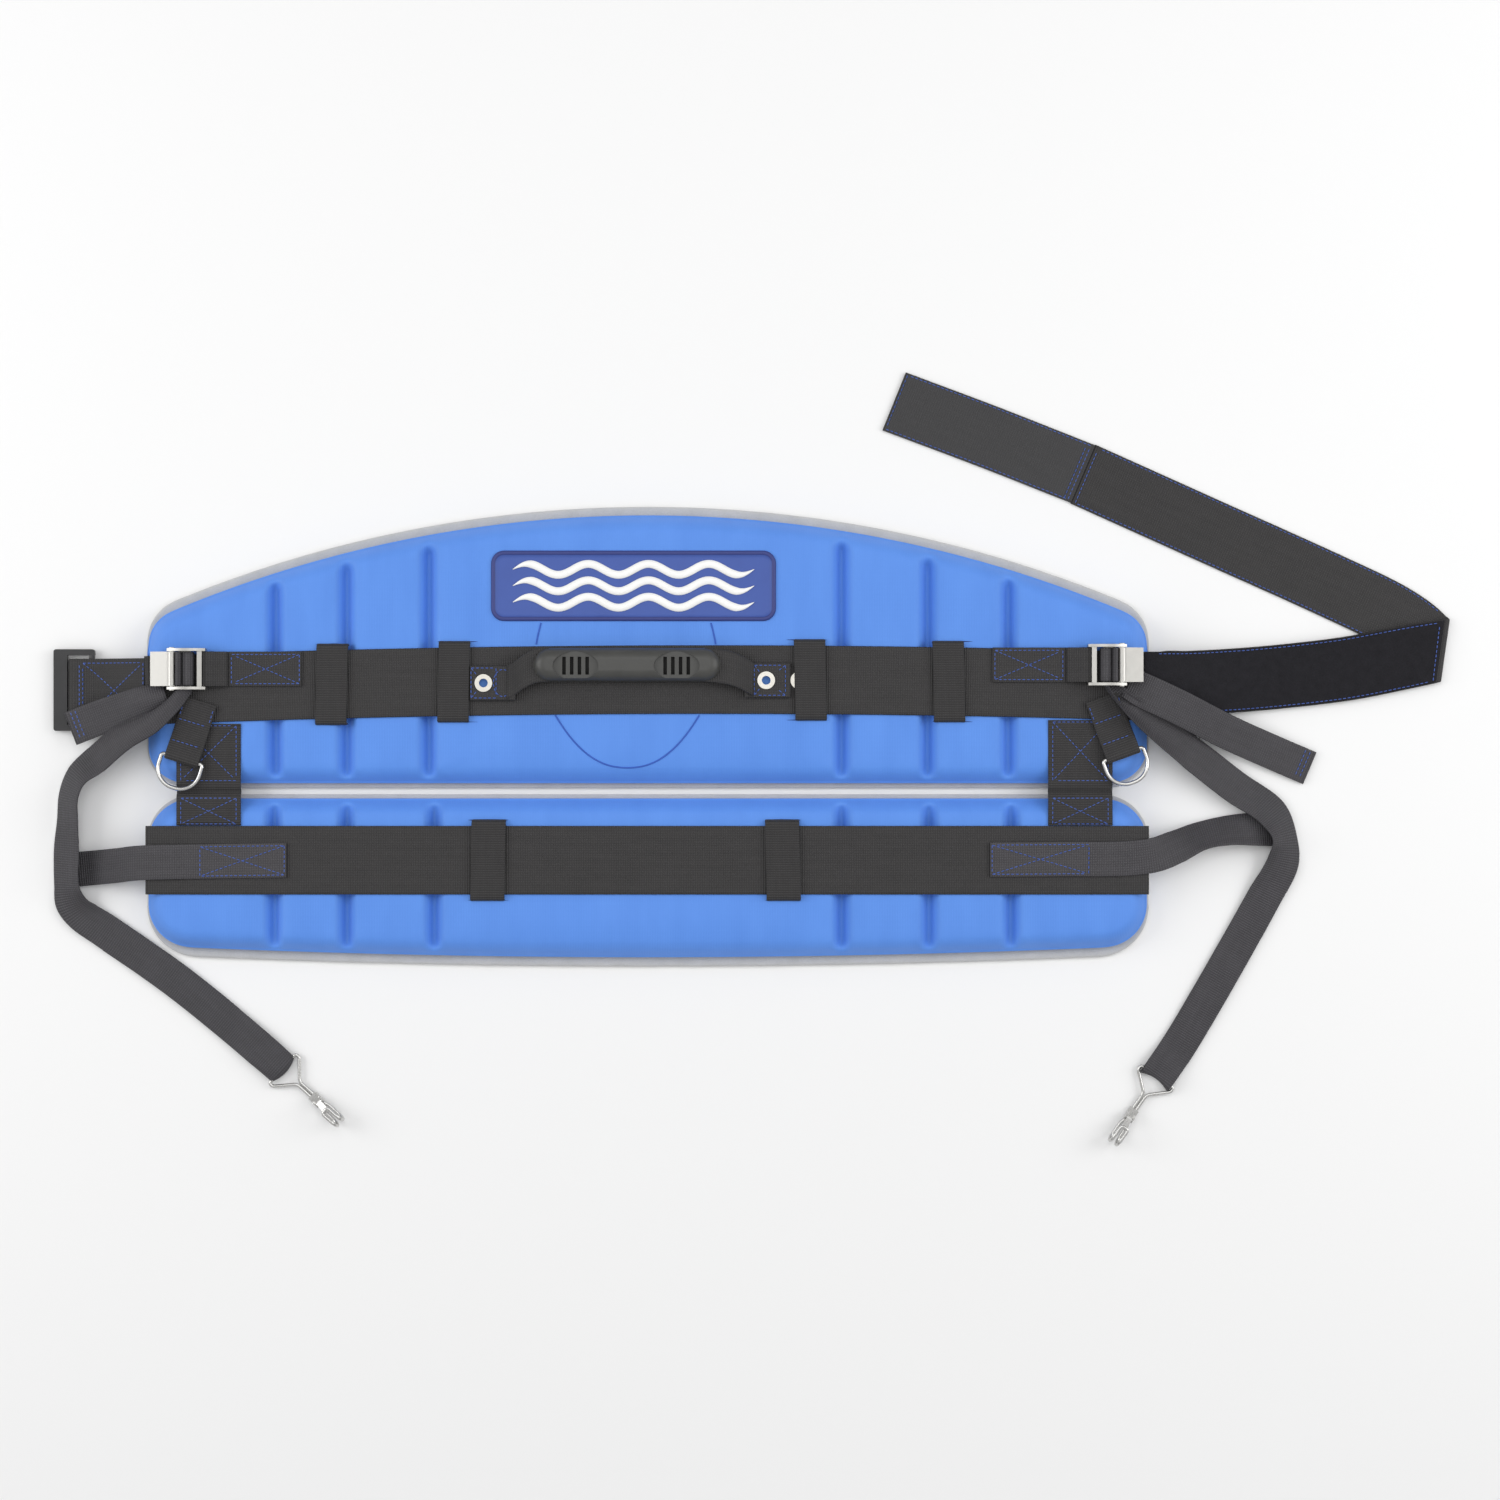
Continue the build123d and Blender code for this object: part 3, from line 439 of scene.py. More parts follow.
def half_turn(middle, radius, first, last, count=5):
    """Places on an arc in the upright plane, as distance ahead and height."""
    for angle in np.linspace(radians(first), radians(last), count):
        yield middle[0] + radius * cos(angle), middle[1] + radius * sin(angle)


# ---- Stitching ----
STITCH = 0.0026
STITCH_GAP = 0.0008
THREAD_R = 0.00036


class Stitches:
    """Rows of separate stitches, gathered in one mesh for each body and thread."""

    def __init__(self, name, material):
        self.name, self.material, self.points, self.faces = name, material, [], []

    def stitch(self, start, end, out):
        """One stitch: a short bowed thread with its ends sunk in the cloth."""
        start, end, out = np.array(start), np.array(end), np.array(out)
        ahead = (end - start) / np.linalg.norm(end - start)
        beside = np.cross(ahead, out)
        first = len(self.points)
        self.points.append(start - out * THREAD_R)
        for share, lift, r in ((0.12, 0.0, 0.8), (0.5, 0.55, 1.0), (0.88, 0.0, 0.8)):
            centre = start + (end - start) * share + out * THREAD_R * lift
            for angle in (45, 135, 225, 315):
                turn = beside * cos(radians(angle)) + out * sin(radians(angle))
                self.points.append(centre + turn * THREAD_R * r * 1.2)
        self.points.append(end - out * THREAD_R)
        last = len(self.points) - 1
        for j in range(4):
            k = (j + 1) % 4
            self.faces.append((first, first + 1 + j, first + 1 + k))
            for ring in (1, 5):
                a, b = first + ring + j, first + ring + k
                self.faces.append((a, a + 4, b + 4, b))
            self.faces.append((last, first + 9 + k, first + 9 + j))

    def row(self, places):
        """Stitches along points given with their outward directions."""
        points = np.array([p for p, _ in places])
        outs = np.array([n for _, n in places])
        reach = np.concatenate([[0], np.cumsum(np.linalg.norm(np.diff(points, axis=0), axis=1))])
        count = int(reach[-1] / (STITCH + STITCH_GAP))
        for k in range(count):
            a = k * (STITCH + STITCH_GAP)
            ends = [[np.interp(d, reach, points[:, i]) for i in range(3)] for d in (a, a + STITCH)]
            out = np.array([np.interp(a, reach, outs[:, i]) for i in range(3)])
            self.stitch(*ends, out / np.linalg.norm(out))

    def line(self, band, start, end):
        """A straight row on webbing between two places, each s across and a distance along."""
        count = max(2, int(abs(end[1] - start[1]) / 0.004) + 1)
        places = []
        for t in np.linspace(0, 1, count):
            places.append(band.at(start[0] * (1 - t) + end[0] * t, start[1] * (1 - t) + end[1] * t))
        self.row(places)

    def box(self, band, s, first, last, cross=True):
        """The usual box with a cross in it."""
        corners = [(-s, first), (s, first), (s, last), (-s, last)]
        for a, b in zip(corners, corners[1:] + corners[:1]):
            self.line(band, a, b)
        if cross:
            self.line(band, corners[0], corners[2])
            self.line(band, corners[1], corners[3])

    def make(self, body, slot="webbing"):
        piece = make_piece(self.name, self.points, self.faces, self.material)
        return finish_piece(piece, body, slot)


back_thread = Stitches("back_stitching", BLUE_THREAD)
seat_thread = Stitches("seat_stitching", BLUE_THREAD)
tail_thread = Stitches("belt_tail_stitching", BLUE_THREAD)


# ---- Pads ----
BACK_GROOVES = (-0.272, -0.220, -0.160, 0.142, 0.205, 0.264)
SEAT_GROOVES = (-0.273, -0.220, -0.156, 0.142, 0.206, 0.266)
EDGE_STEPS = (0, 0.0006, 0.0016, 0.003, 0.005, 0.0075, 0.0105)
SEAT_BELT_Y = (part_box("seat_belt")[0].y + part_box("seat_belt")[1].y) / 2


def edge_height(x, half, middle, end, r):
    """Y of a pad's upper edge: an arc from middle to its ends, rounded by r into straight sides."""
    x = abs(x)
    rise = middle - end
    if rise < 1e-6:
        return middle if x < half - r else middle - r + sqrt(max(r * r - (x - half + r) ** 2, 0))
    big = (half * half + rise * rise) / (2 * rise)
    foot = middle - big
    if x < (half - r) * big / (big - r):
        return foot + sqrt(big * big - x * x)
    return foot + sqrt((big - r) ** 2 - (half - r) ** 2) + sqrt(max(r * r - (x - half + r) ** 2, 0))


class Outline:
    """One pad's plan: insets are for its top, its sides and its bottom."""

    def __init__(self, top, bottom, insets):
        self.half = PAD_HALF - insets[1]
        self.top = (top[0] - insets[0], top[1] - insets[0], top[2] - 0.7 * insets[0])
        self.bottom = (-bottom[0] - insets[2], -bottom[1] - insets[2], bottom[2] - 0.7 * insets[2])

    def high(self, x):
        return edge_height(x, self.half, *self.top)

    def low(self, x):
        return -edge_height(x, self.half, *self.bottom)

    def columns(self, grooves):
        """Places along X, closer together at the ends and at the grooves."""
        steps = [*EDGE_STEPS, 0.0145, 0.0195, 0.0255, 0.032]
        places = {round(self.half - e, 5) for e in steps} | {round(e - self.half, 5) for e in steps}
        places |= {round(x, 5) for x in np.arange(-self.half + 0.036, self.half - 0.034, 0.004)}
        for groove in grooves:
            places = {x for x in places if abs(x - groove) > 0.011}
            places |= {round(groove + k * 0.0018, 5) for k in range(-5, 6)}
        return sorted(places)

    def grid(self, grooves, rows):
        """Points in plan, as columns of equal length, and each point's distance from the outline."""
        table = []
        for x in self.columns(grooves):
            low, high = self.low(x), self.high(x)
            inner = np.linspace(low + 0.0135, high - 0.0135, rows)
            table.append([(x, y) for y in (*[low + e for e in EDGE_STEPS], *inner,
                                           *[high - e for e in reversed(EDGE_STEPS)])])
        plan = np.array(table)
        return plan, self.distance(plan)

    def distance(self, plan):
        xs = self.half * np.sin(np.linspace(-pi / 2, pi / 2, 900))
        rim = np.array([(x, self.high(x)) for x in xs] + [(x, self.low(x)) for x in xs])
        sides = self.half - np.abs(plan[..., 0])
        straight = plan[..., 1] < self.top[1] - self.top[2]
        straight &= plan[..., 1] > -self.bottom[1] + self.bottom[2]
        sides = np.where(straight, sides, 1.0)
        near = np.array([np.sqrt(((rim - p) ** 2).sum(1)).min() for p in plan.reshape(-1, 2)])
        return np.minimum(near.reshape(plan.shape[:2]), sides)


def groove_distance(plan, grooves, low, high):
    """Distance in plan from the nearest groove's middle line."""
    near = np.full(plan.shape[:2], 1.0)
    for x in grooves:
        y = np.clip(plan[..., 1], low, high(x))
        near = np.minimum(near, np.hypot(plan[..., 0] - x, plan[..., 1] - y))
    return near


def smoothstep(t):
    t = np.clip(t, 0, 1)
    return t * t * (3 - 2 * t)


def slope_down(distance):
    """Drop below the top near a cover's rim: a narrow flange, then a soft slope up to the panels."""
    rise = np.clip((distance - RIM_FLANGE) / RIM_SLOPE, 0, 1)
    return RIM_DROP * (1 - np.sin(rise * pi / 2) ** 0.9)


def rounded(distance, r):
    """Drop below the top near a rim rounded by r."""
    d = np.clip(distance, 0, r)
    return r - np.sqrt(r * r - (r - d) ** 2)


def grid_faces(columns, rows, first=0, flip=False):
    faces = []
    for i in range(columns - 1):
        for j in range(rows - 1):
            a = first + i * rows + j
            face = (a, a + rows, a + rows + 1, a + 1)
            faces.append(face[::-1] if flip else face)
    return faces


def rim_loop(columns, rows):
    """Numbers of a grid's outer points, in order."""
    up = [(columns - 1) * rows + j for j in range(rows)]
    back = [i * rows + rows - 1 for i in range(columns - 2, -1, -1)]
    down = [j for j in range(rows - 2, -1, -1)]
    out = [i * rows for i in range(1, columns - 1)]
    return up + back + down + out


def shell(name, top, bottom, wall, material):
    """A closed form from an upper and a lower grid of points, with one ring of wall between them."""
    columns, rows = top.shape[:2]
    count = columns * rows
    points = [*top.reshape(-1, 3), *bottom.reshape(-1, 3)]
    faces = grid_faces(columns, rows) + grid_faces(columns, rows, count, flip=True)
    loop = rim_loop(columns, rows)
    first = len(points)
    for k in loop:
        points.append((points[k] + points[k + count]) / 2 + wall)
    for n, k in enumerate(loop):
        m = (n + 1) % len(loop)
        faces.append((k, first + n, first + m, loop[m]))
        faces.append((first + n, k + count, loop[m] + count, first + m))
    return make_piece(name, points, faces, material)


def inflate(top, held):
    """Lets the cover's cloth swell under pressure; the held points are where it is moulded down."""
    columns, rows = top.shape[:2]
    cloth = make_piece("swelling_cover", top.reshape(-1, 3), grid_faces(columns, rows), COVER)
    group = cloth.vertex_groups.new(name="held")
    group.add([int(k) for k in np.flatnonzero(held.ravel())], 1.0, "REPLACE")
    settings = cloth.modifiers.new("swell", "CLOTH").settings
    settings.vertex_group_mass = "held"
    settings.quality = 4
    settings.mass = 0.4
    settings.tension_stiffness = settings.compression_stiffness = 12
    settings.shear_stiffness = 6
    settings.bending_stiffness = 2.0
    settings.use_pressure = True
    settings.uniform_pressure_force = 4.0
    settings.effector_weights.gravity = 0
    for number in range(1, SWELL_FRAMES + 1):
        bpy.context.scene.frame_set(number)
    swollen = cloth.evaluated_get(bpy.context.evaluated_depsgraph_get()).data
    points = np.array([v.co for v in swollen.vertices]).reshape(top.shape)
    bpy.context.scene.frame_set(1)
    bpy.data.objects.remove(cloth)
    move = points - top
    size = np.linalg.norm(move, axis=2)[..., None]
    return top + move * np.minimum(1, PUFF_CAP / np.maximum(size, 1e-9))


def belt_middle(x):
    """Y of the back belt's middle, which bows towards the pad's crowned edge."""
    return BELT_Y - BELT_BOW * (x / BELT_HALF) ** 2 + BELT_TILT * x / BELT_HALF


def cover(name, body, outline, grooves, low, high, belt, rows, replaced):
    """Moulded cover: rounded rim, channels between the panels, and panels that swell a little."""
    plan, rim = outline.grid(grooves, rows)
    groove = groove_distance(plan, grooves, low, high)
    dip = GROOVE_DEPTH * smoothstep(1 - groove / GROOVE_HALF)
    dip += GROOVE_CORE[1] * smoothstep(1 - groove / GROOVE_CORE[0])
    edge = slope_down(rim)
    height = PAD_TOP - 0.0002 - np.minimum(edge + dip * (1 - edge / RIM_DROP), RIM_DROP)
    under_belt = np.abs(plan[..., 1] - belt(plan[..., 0])) < HELD_BELT
    top = np.dstack([plan, height])
    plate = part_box("badge_plate")
    under_badge = True
    for axis in range(2):
        middle, half = (plate[0][axis] + plate[1][axis]) / 2, (plate[1][axis] - plate[0][axis]) / 2
        under_badge &= np.abs(plan[..., axis] - middle) < half + HELD_BADGE
    held = (rim < HELD_RIM) | (groove < HELD_GROOVE) | under_belt | under_badge
    top = inflate(top, held)
    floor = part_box(body.replace("_pad", "_lining"))[1].z + 0.0002
    bottom = np.dstack([plan, np.full(plan.shape[:2], floor)])
    piece = shell(name, top, bottom, np.array((0, 0, 0)), COVER)
    subdivide(piece)
    finish_piece(piece, body, "cover", *replaced)
    return piece


def lining(name, body, outline, grooves, low, high, rows, replaced):
    """Grey lining laminated to thin foam: a soft turned edge, and shallow channels on the wearer's side."""
    plan, rim = outline.grid(grooves, rows)
    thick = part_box(replaced)[1].z
    roll = rounded(rim, LINING_ROLL)
    ripple = 0.00025 * np.sin(plan[..., 0] * 95) * np.sin(plan[..., 1] * 70 + plan[..., 0] * 31)
    depth, half = LINING_CHANNEL
    channel = depth * smoothstep(1 - groove_distance(plan, grooves, low, high) / half)
    depth, inset, half = LINING_SEAM
    seam = depth * smoothstep(1 - np.abs(rim - inset) / half)
    top = np.dstack([plan, thick - roll + ripple * (rim < 0.008)])
    bottom = np.dstack([plan, roll + channel + seam])
    piece = shell(name, top, bottom, np.array((0, 0, 0)), LINING)
    subdivide(piece)
    return finish_piece(piece, body, "lining", replaced)


BACK_TOP = (0.1347, 0.0570, 0.032)
BACK_BOTTOM = (-0.0720, -0.0720, 0.030)
SEAT_TOP = (-0.0766, -0.0766, 0.034)
SEAT_BOTTOM = (-0.2030, -0.1945, 0.037)

BACK_GROOVES_LOW = -0.059  # Y of the grooves' lower ends
SEAT_GROOVES_LOW = -0.184
SEAT_GROOVES_HIGH = -0.088


def crowned(y):
    """The upper ends of the back pad's grooves: at y in the middle and lower towards the pad's ends."""
    return lambda x: y - x * x / 1.824


def back_outline(*insets):
    return Outline(BACK_TOP, BACK_BOTTOM, insets)


def seat_outline(*insets):
    return Outline(SEAT_TOP, SEAT_BOTTOM, insets)


back_panel = cover("back_panel", "back_pad", back_outline(0.0066, 0.0020, 0.0036), BACK_GROOVES,
                   BACK_GROOVES_LOW, crowned(0.114), belt_middle, 54, ("back_cover", "back_foam"))
cover("seat_panel", "seat_pad", seat_outline(0.0029, 0.0020, 0.0070), SEAT_GROOVES, SEAT_GROOVES_LOW,
      lambda x: SEAT_GROOVES_HIGH, lambda x: SEAT_BELT_Y, 28, ("seat_cover", "seat_foam"))
back_lining = lining("back_lining_fabric", "back_pad", back_outline(0, 0, 0), BACK_GROOVES, BACK_GROOVES_LOW,
                     crowned(0.105), 54, "back_lining")
seat_lining = lining("seat_lining_fabric", "seat_pad", seat_outline(0, 0, 0), SEAT_GROOVES, SEAT_GROOVES_LOW,
                     lambda x: SEAT_GROOVES_HIGH, 28, "seat_lining")


# ---- Wide belts and keepers ----
def back_belt_route():
    for x in np.linspace(-BELT_HALF, BELT_HALF, 25):
        slope = -2 * BELT_BOW * x / BELT_HALF ** 2 + BELT_TILT / BELT_HALF
        yield x, belt_middle(x), PAD_TOP + WEB / 2, 90 + 57.3 * slope, 0


back_belt = Band("back_belt_webbing", list(back_belt_route()), BELT_WIDTH, WEB)
back_belt.sew("back_pad", "back_belt")
seat_belt_route = [(x, SEAT_BELT_Y, PAD_TOP + WEB / 2, 90, 0) for x in np.linspace(-BELT_HALF, BELT_HALF, 9)]
seat_belt = Band("seat_belt_webbing", seat_belt_route, BELT_WIDTH, WEB)
seat_belt.sew("seat_pad", "seat_belt")

# Half of a keeper seen from its side: places across the belt and heights over the pad.
KEEPER_PROFILE = ((-0.0286, -0.004), (-0.0291, 0.0004), (-0.0284, 0.0024), (-0.0260, 0.0033),
                  (-0.012, 0.0034), (0.003, 0.0035))
SLIT_Y = 0.0293

# How far the painted shade of each keeper's slits shows past its webbing, to the left and to the right.
SLIT_PAST = {
    "back_keeper_1": (0.0005, 0.0005), "back_keeper_2": (0.0005, 0.0060), "back_keeper_3": (0.0060, 0.0005),
    "back_keeper_4": (0.0005, 0.0060), "seat_keeper_1": (0.0022, 0.0022), "seat_keeper_2": (0.0005, 0.0005),
}


def keeper(node, body, y_middle):
    """A webbing bridge over a belt, its ends tucked into slits in the cover, each slit marked by a dark strip
    of painted shade.
    """
    low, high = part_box(node)
    x, width = (low.x + high.x) / 2, high.x - low.x
    lean = 0.0006 * (1 if x < 0 else -1)
    profile = [*KEEPER_PROFILE, *[(-y, z) for y, z in KEEPER_PROFILE[-2::-1]]]
    route = [(x + lean * y / 0.03, y_middle + y, PAD_TOP + z, 0, 0) for y, z in profile]
    band = Band(f"{node}_webbing", route, width, 0.0014)
    band.sew(body, node)
    past = SLIT_PAST[node]
    for end in (-1, 1):
        slit_shade(f"{node}_slit_{'low' if end < 0 else 'high'}", body, y_middle + end * SLIT_Y,
             x - width / 2 - past[0], x + width / 2 + past[1])


def slit_shade(name, body, y, first, last):
    """A dark strip painted as the shade in the mouth of a slit in the cover, where a keeper goes through it.
    """
    points, count = [], 17
    for i in range(count):
        t = i / (count - 1)
        wide = 0.0006 * sqrt(max(1 - (2 * t - 1) ** 2, 0.02))
        for side, z in ((-1, -0.0002), (0, 0.00012), (1, -0.0002), (0, -0.0006)):
            points.append((first + t * (last - first), y + side * wide, PAD_TOP + z))
    finish_piece(make_piece(name, points, tube_faces(count, 4), SLIT_SHADE), body, "cover")


for number in range(1, 5):
    low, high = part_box(f"back_keeper_{number}")
    keeper(f"back_keeper_{number}", "back_pad", (low.y + high.y) / 2)
for number in range(1, 3):
    keeper(f"seat_keeper_{number}", "seat_pad", SEAT_BELT_Y)


# ---- Moulded lines ----
bpy.context.view_layer.update()


def crease_line(name, body, places):
    """A fine line pressed into the cover, drawn as a thin tube on its surface whose darker blue is painted
    shade.
    """
    curve = bpy.data.curves.new(name, "CURVE")
    curve.dimensions = "3D"
    curve.bevel_depth = 0.0006
    spline = curve.splines.new("NURBS")
    spline.points.add(len(places) - 1)
    for point, (x, y) in zip(spline.points, places):
        point.co = (x, y, back_panel.ray_cast((x, y, 0.1), (0, 0, -1))[1].z + 0.0001, 1)
    spline.order_u = 3
    spline.use_endpoint_u = True
    curve.materials.append(CREASE_SHADE)
    line = bpy.data.objects.new(name, curve)
    link(line)
    graph = bpy.context.evaluated_depsgraph_get()
    mesh = bpy.data.meshes.new_from_object(line.evaluated_get(graph))
    bpy.data.objects.remove(line)
    piece = bpy.data.objects.new(name, mesh)
    link(piece)
    finish_piece(piece, body, "cover")


crease_line("round_crease", "back_pad",
            [(-0.0145 + 0.0525 * t, -0.0188 - 0.0382 * (1 - abs(t) ** 2.3)) for t in np.linspace(-1, 1, 21)])
crease_line("left_upper_crease", "back_pad", [(-0.0775, 0.0487), (-0.0797, 0.041), (-0.081, 0.0331)])
crease_line("right_upper_crease", "back_pad", [(0.0465, 0.0487), (0.0487, 0.041), (0.0500, 0.0331)])


# ---- Connectors between the pads ----
FOLD_Y = -0.0743


def connector(side):
    """2 inch webbing from the back belt to the seat belt; it bends where the pads meet."""
    upper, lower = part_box(f"{side}_upper_connector"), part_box(f"{side}_lower_connector")
    x = (upper[0].x + upper[1].x) / 2
    z = (upper[0].z + upper[1].z) / 2
    dips = ((upper[1].y, 0), (-0.045, 0), (-0.0655, 0), (-0.0715, -0.0006), (FOLD_Y, -0.0026),
            (-0.0771, -0.0006), (-0.083, 0), (lower[0].y, 0))
    route = [(x, y, z + dip, 0, 0) for y, dip in dips]
    band = Band(f"{side}_connector", route, upper[1].x - upper[0].x, WEB_THIN)
    fold = upper[1].y - FOLD_Y
    back_thread.box(band, 0.86, 0.0015, fold - 0.008)
    seat_thread.box(band, 0.86, fold + 0.0065, band.length - 0.0012)
    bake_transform(band.piece)
    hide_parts(f"{side}_upper_connector", f"{side}_lower_connector")


# ---- Buckles ----
BUCKLE_X = 0.324
BUCKLE_Y = {"left": 0.015, "right": 0.018}
BAR_R = 0.00175
BAR_Z = SEWN + WEB_THIN / 2 + 0.0002 + BAR_R


def buckle_anchor(side):
    """Webbing sewn on the belt and looped round the buckle's bar, and the strap's turns in the buckle."""
    heading = 180 if side == "left" else 0
    origin = (SIDES[side] * BUCKLE_X, BUCKLE_Y[side])
    loop_r = BAR_R + 0.0002 + WEB_THIN / 2
    upper = SEWN + WEB_THIN
    profile = [(-0.072, SEWN), (-0.05, SEWN), (-0.025, SEWN), *half_turn((0, BAR_Z), loop_r, -90, 90),
               (-0.005, BAR_Z + loop_r - 0.0001), (-0.0115, upper + 0.0016), (-0.018, upper + 0.0001)]
    route = list(side_route(origin, heading, profile))
    band = Band(f"{side}_anchor_webbing", route, STRAP, WEB_THIN, step=FINE_STEP)
    band.sew("back_pad", f"{side}_buckle_anchor")
    back_thread.box(band, 0.84, 0.0015, 0.051)

    low = BELT_TOP + 0.0025
    turn = [(0.0265, low + 0.0002), (0.018, low), (0.0105, low), (0.0066, low + 0.0016),
            (0.0064, low + 0.0046), (0.0098, low + 0.0064), (0.0134, low + 0.0050), (0.0139, low + 0.0020)]
    second = [(0.0152, low + 0.0022), (0.0150, low + 0.0054), (0.0162, low + 0.0082), (0.0183, low + 0.0087)]
    for name, points in (("turn", turn), ("second_turn", second)):
        route = list(side_route(origin, heading, points))
        piece = Band(f"{side}_buckle_{name}", route, 0.0246, 0.0012, STRAPPING, 0.0012).piece
        finish_piece(piece, "back_pad", "webbing")


for side in SIDES:
    connector(side)
    buckle_anchor(side)


# ---- D-ring tabs ----
D_BAR_AT = {"left": (-0.3385, -0.0505), "right": (0.3465, -0.0470)}
D_HEADING = {"left": -107, "right": -70}
D_WIRE_R = 0.0015
D_BAR_Z = BELT_TOP + 0.00005 + WEB_THIN + 0.0004 + D_WIRE_R


def d_ring_tab(side):
    loop_r = D_WIRE_R + 0.0003 + WEB_THIN / 2
    flat = D_BAR_Z - loop_r + WEB_THIN
    profile = [(-0.044, flat), (-0.03, flat), (-0.017, flat), (-0.006, D_BAR_Z + loop_r - 0.0008),
               *half_turn((0, D_BAR_Z), loop_r, 90, -90),
               (-0.008, D_BAR_Z - loop_r), (-0.016, D_BAR_Z - loop_r)]
    route = list(side_route(D_BAR_AT[side], D_HEADING[side], profile))
    band = Band(f"{side}_tab_webbing", route, STRAP, WEB_THIN, step=FINE_STEP)
    band.sew("back_pad", f"{side}_d_ring_tab")
    for distance in (0.033, 0.0165):
        back_thread.line(band, (-0.88, distance), (0.88, distance))
    for s in (-0.88, 0.88):
        back_thread.line(band, (s, 0.004), (s, 0.0165))


for side in SIDES:
    d_ring_tab(side)


# ---- Carry handle ----
# Where the handle's webbing is sewn on: X of its outer and inner end, and Y.
ANCHORS = {"left": (-0.129, -0.098, 0.0048), "right": (0.1043, 0.075, 0.0068)}
ANCHOR_BOX = {"left": (0.0008, 0.0190), "right": (0.0035, 0.0262)}  # the sewn box along it
GROMMETS = {"left": (-0.1192, 0.0048), "right": (0.0868, 0.0068)}
GRIP_LOW, GRIP_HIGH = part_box("handle_grip")
GRIP_Y = (GRIP_LOW.y + GRIP_HIGH.y) / 2
GRIP_Z = (GRIP_LOW.z + GRIP_HIGH.z) / 2
HUMP_WIDTH = 0.0246
HUMP_THICK = 0.0021
BELT_GROMMETS = ((-0.139, 0.0048), (0.1109, 0.0068))
BARREL_R = 0.0039


def handle_side(side):
    """Doubled webbing sewn on the belt, and the hump that joins it to the grip."""
    outer, inner, y = ANCHORS[side]
    ahead = 1 if inner > outer else -1
    grip_end = GRIP_LOW.x if side == "left" else GRIP_HIGH.x
    heading = 0 if ahead > 0 else 180
    for number in range(2):
        z = SEWN + number * WEB_THIN
        profile = ((0, z), (0.012, z), (0.024, z), (0.0285, z + 0.0003), (0.033, z + 0.0022))
        route = list(side_route((outer, y), heading, profile))
        band = Band(f"{side}_anchor_layer_{number + 1}", route, STRAP, WEB_THIN)
        pierce(band.piece, GROMMETS[side])
        band.sew("back_pad", f"{side}_handle_anchor")
    near, far = ANCHOR_BOX[side]
    eyelet = abs(GROMMETS[side][0] - outer)
    back_thread.box(band, 0.86, near, far, cross=False)
    for corner in (near,) if side == "left" else (near, far):
        for s in (-0.86, 0.86):
            back_thread.line(band, (s, corner), (s / 2, (corner + eyelet) / 2))
    if side == "left":
        back_thread.row([(np.array((outer + 0.0240 + 0.0070 * cos(a), y + 0.0100 * sin(a), z + WEB_THIN / 2)),
                          np.array((0, 0, 1))) for a in np.linspace(0, 2 * pi, 17)])
    z = SEWN + WEB_THIN / 2
    across = heading + 90
    hump = [(outer + ahead * 0.027, y + 0.0005, z + 0.0014, across, 0),
            (inner, y + 0.002, z + 0.0030, across, 6),
            (inner + (grip_end - inner) * 0.5, y + 0.0075, GRIP_Z + 0.0004, across, 4),
            (grip_end + ahead * 0.002, GRIP_Y - 0.001, GRIP_Z + 0.0002, across, 0),
            (grip_end + ahead * 0.012, GRIP_Y, GRIP_Z, across, 0)]
    band = Band(f"{side}_handle_hump", hump, HUMP_WIDTH, HUMP_THICK)
    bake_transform(band.piece)
    if side == "left":
        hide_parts("handle_webbing")


def pierce(piece, *centres):
    """Cuts round holes for the eyelets."""
    for x, y in centres:
        place = (x, y, PAD_TOP)
        bpy.ops.mesh.primitive_cylinder_add(vertices=28, radius=BARREL_R, depth=0.05, location=place)
        drill = bpy.context.object
        cut = piece.modifiers.new("eyelet", "BOOLEAN")
        cut.operation = "DIFFERENCE"
        cut.solver = "EXACT"
        cut.object = drill
        apply_modifiers(piece)
        bpy.data.objects.remove(drill)


for side in ANCHORS:
    handle_side(side)
pierce(back_belt.piece, *GROMMETS.values(), *BELT_GROMMETS)


# The dark bottoms of the slots in the grip's two finger recesses.
SLOT_ROWS = (-0.0516, 0.0218)  # X of each recess
SLOT_Y = 0.0172
SLOT_PITCH = 0.0056
SLOT_HALF = (0.00135, 0.0066)
SLOT_FLOOR = GRIP_HIGH.z - 0.0048


def slot_floors():
    points, faces = [], []
    for row in SLOT_ROWS:
        for k in (-1.5, -0.5, 0.5, 1.5):
            first = len(points)
            for z in (SLOT_FLOOR - 0.0001, SLOT_FLOOR + 0.0009):
                for sx, sy in CORNERS:
                    points.append((row + k * SLOT_PITCH + sx * SLOT_HALF[0], SLOT_Y + sy * SLOT_HALF[1], z))
            faces += [tuple(first + n for n in quad) for quad in tube_faces(2, 4)]
    finish_piece(make_piece("grip_slot_floors", points, faces, SHADE), "handle", "grip")


slot_floors()


# ---- Hook straps, tails and seat branches ----
HOOK_BAR_R = 0.00125
HOOK_BAR_Z = WEB_THIN + 0.00015 + HOOK_BAR_R
HOOK_AT = {"left": (-0.2686, -0.2782), "right": (0.3743, -0.2841)}
HOOK_HEADING = {"left": -42, "right": -125}
UPPER_Z = 1.5 * WEB_THIN + 0.00015
LOWER_Z = 0.5 * WEB_THIN

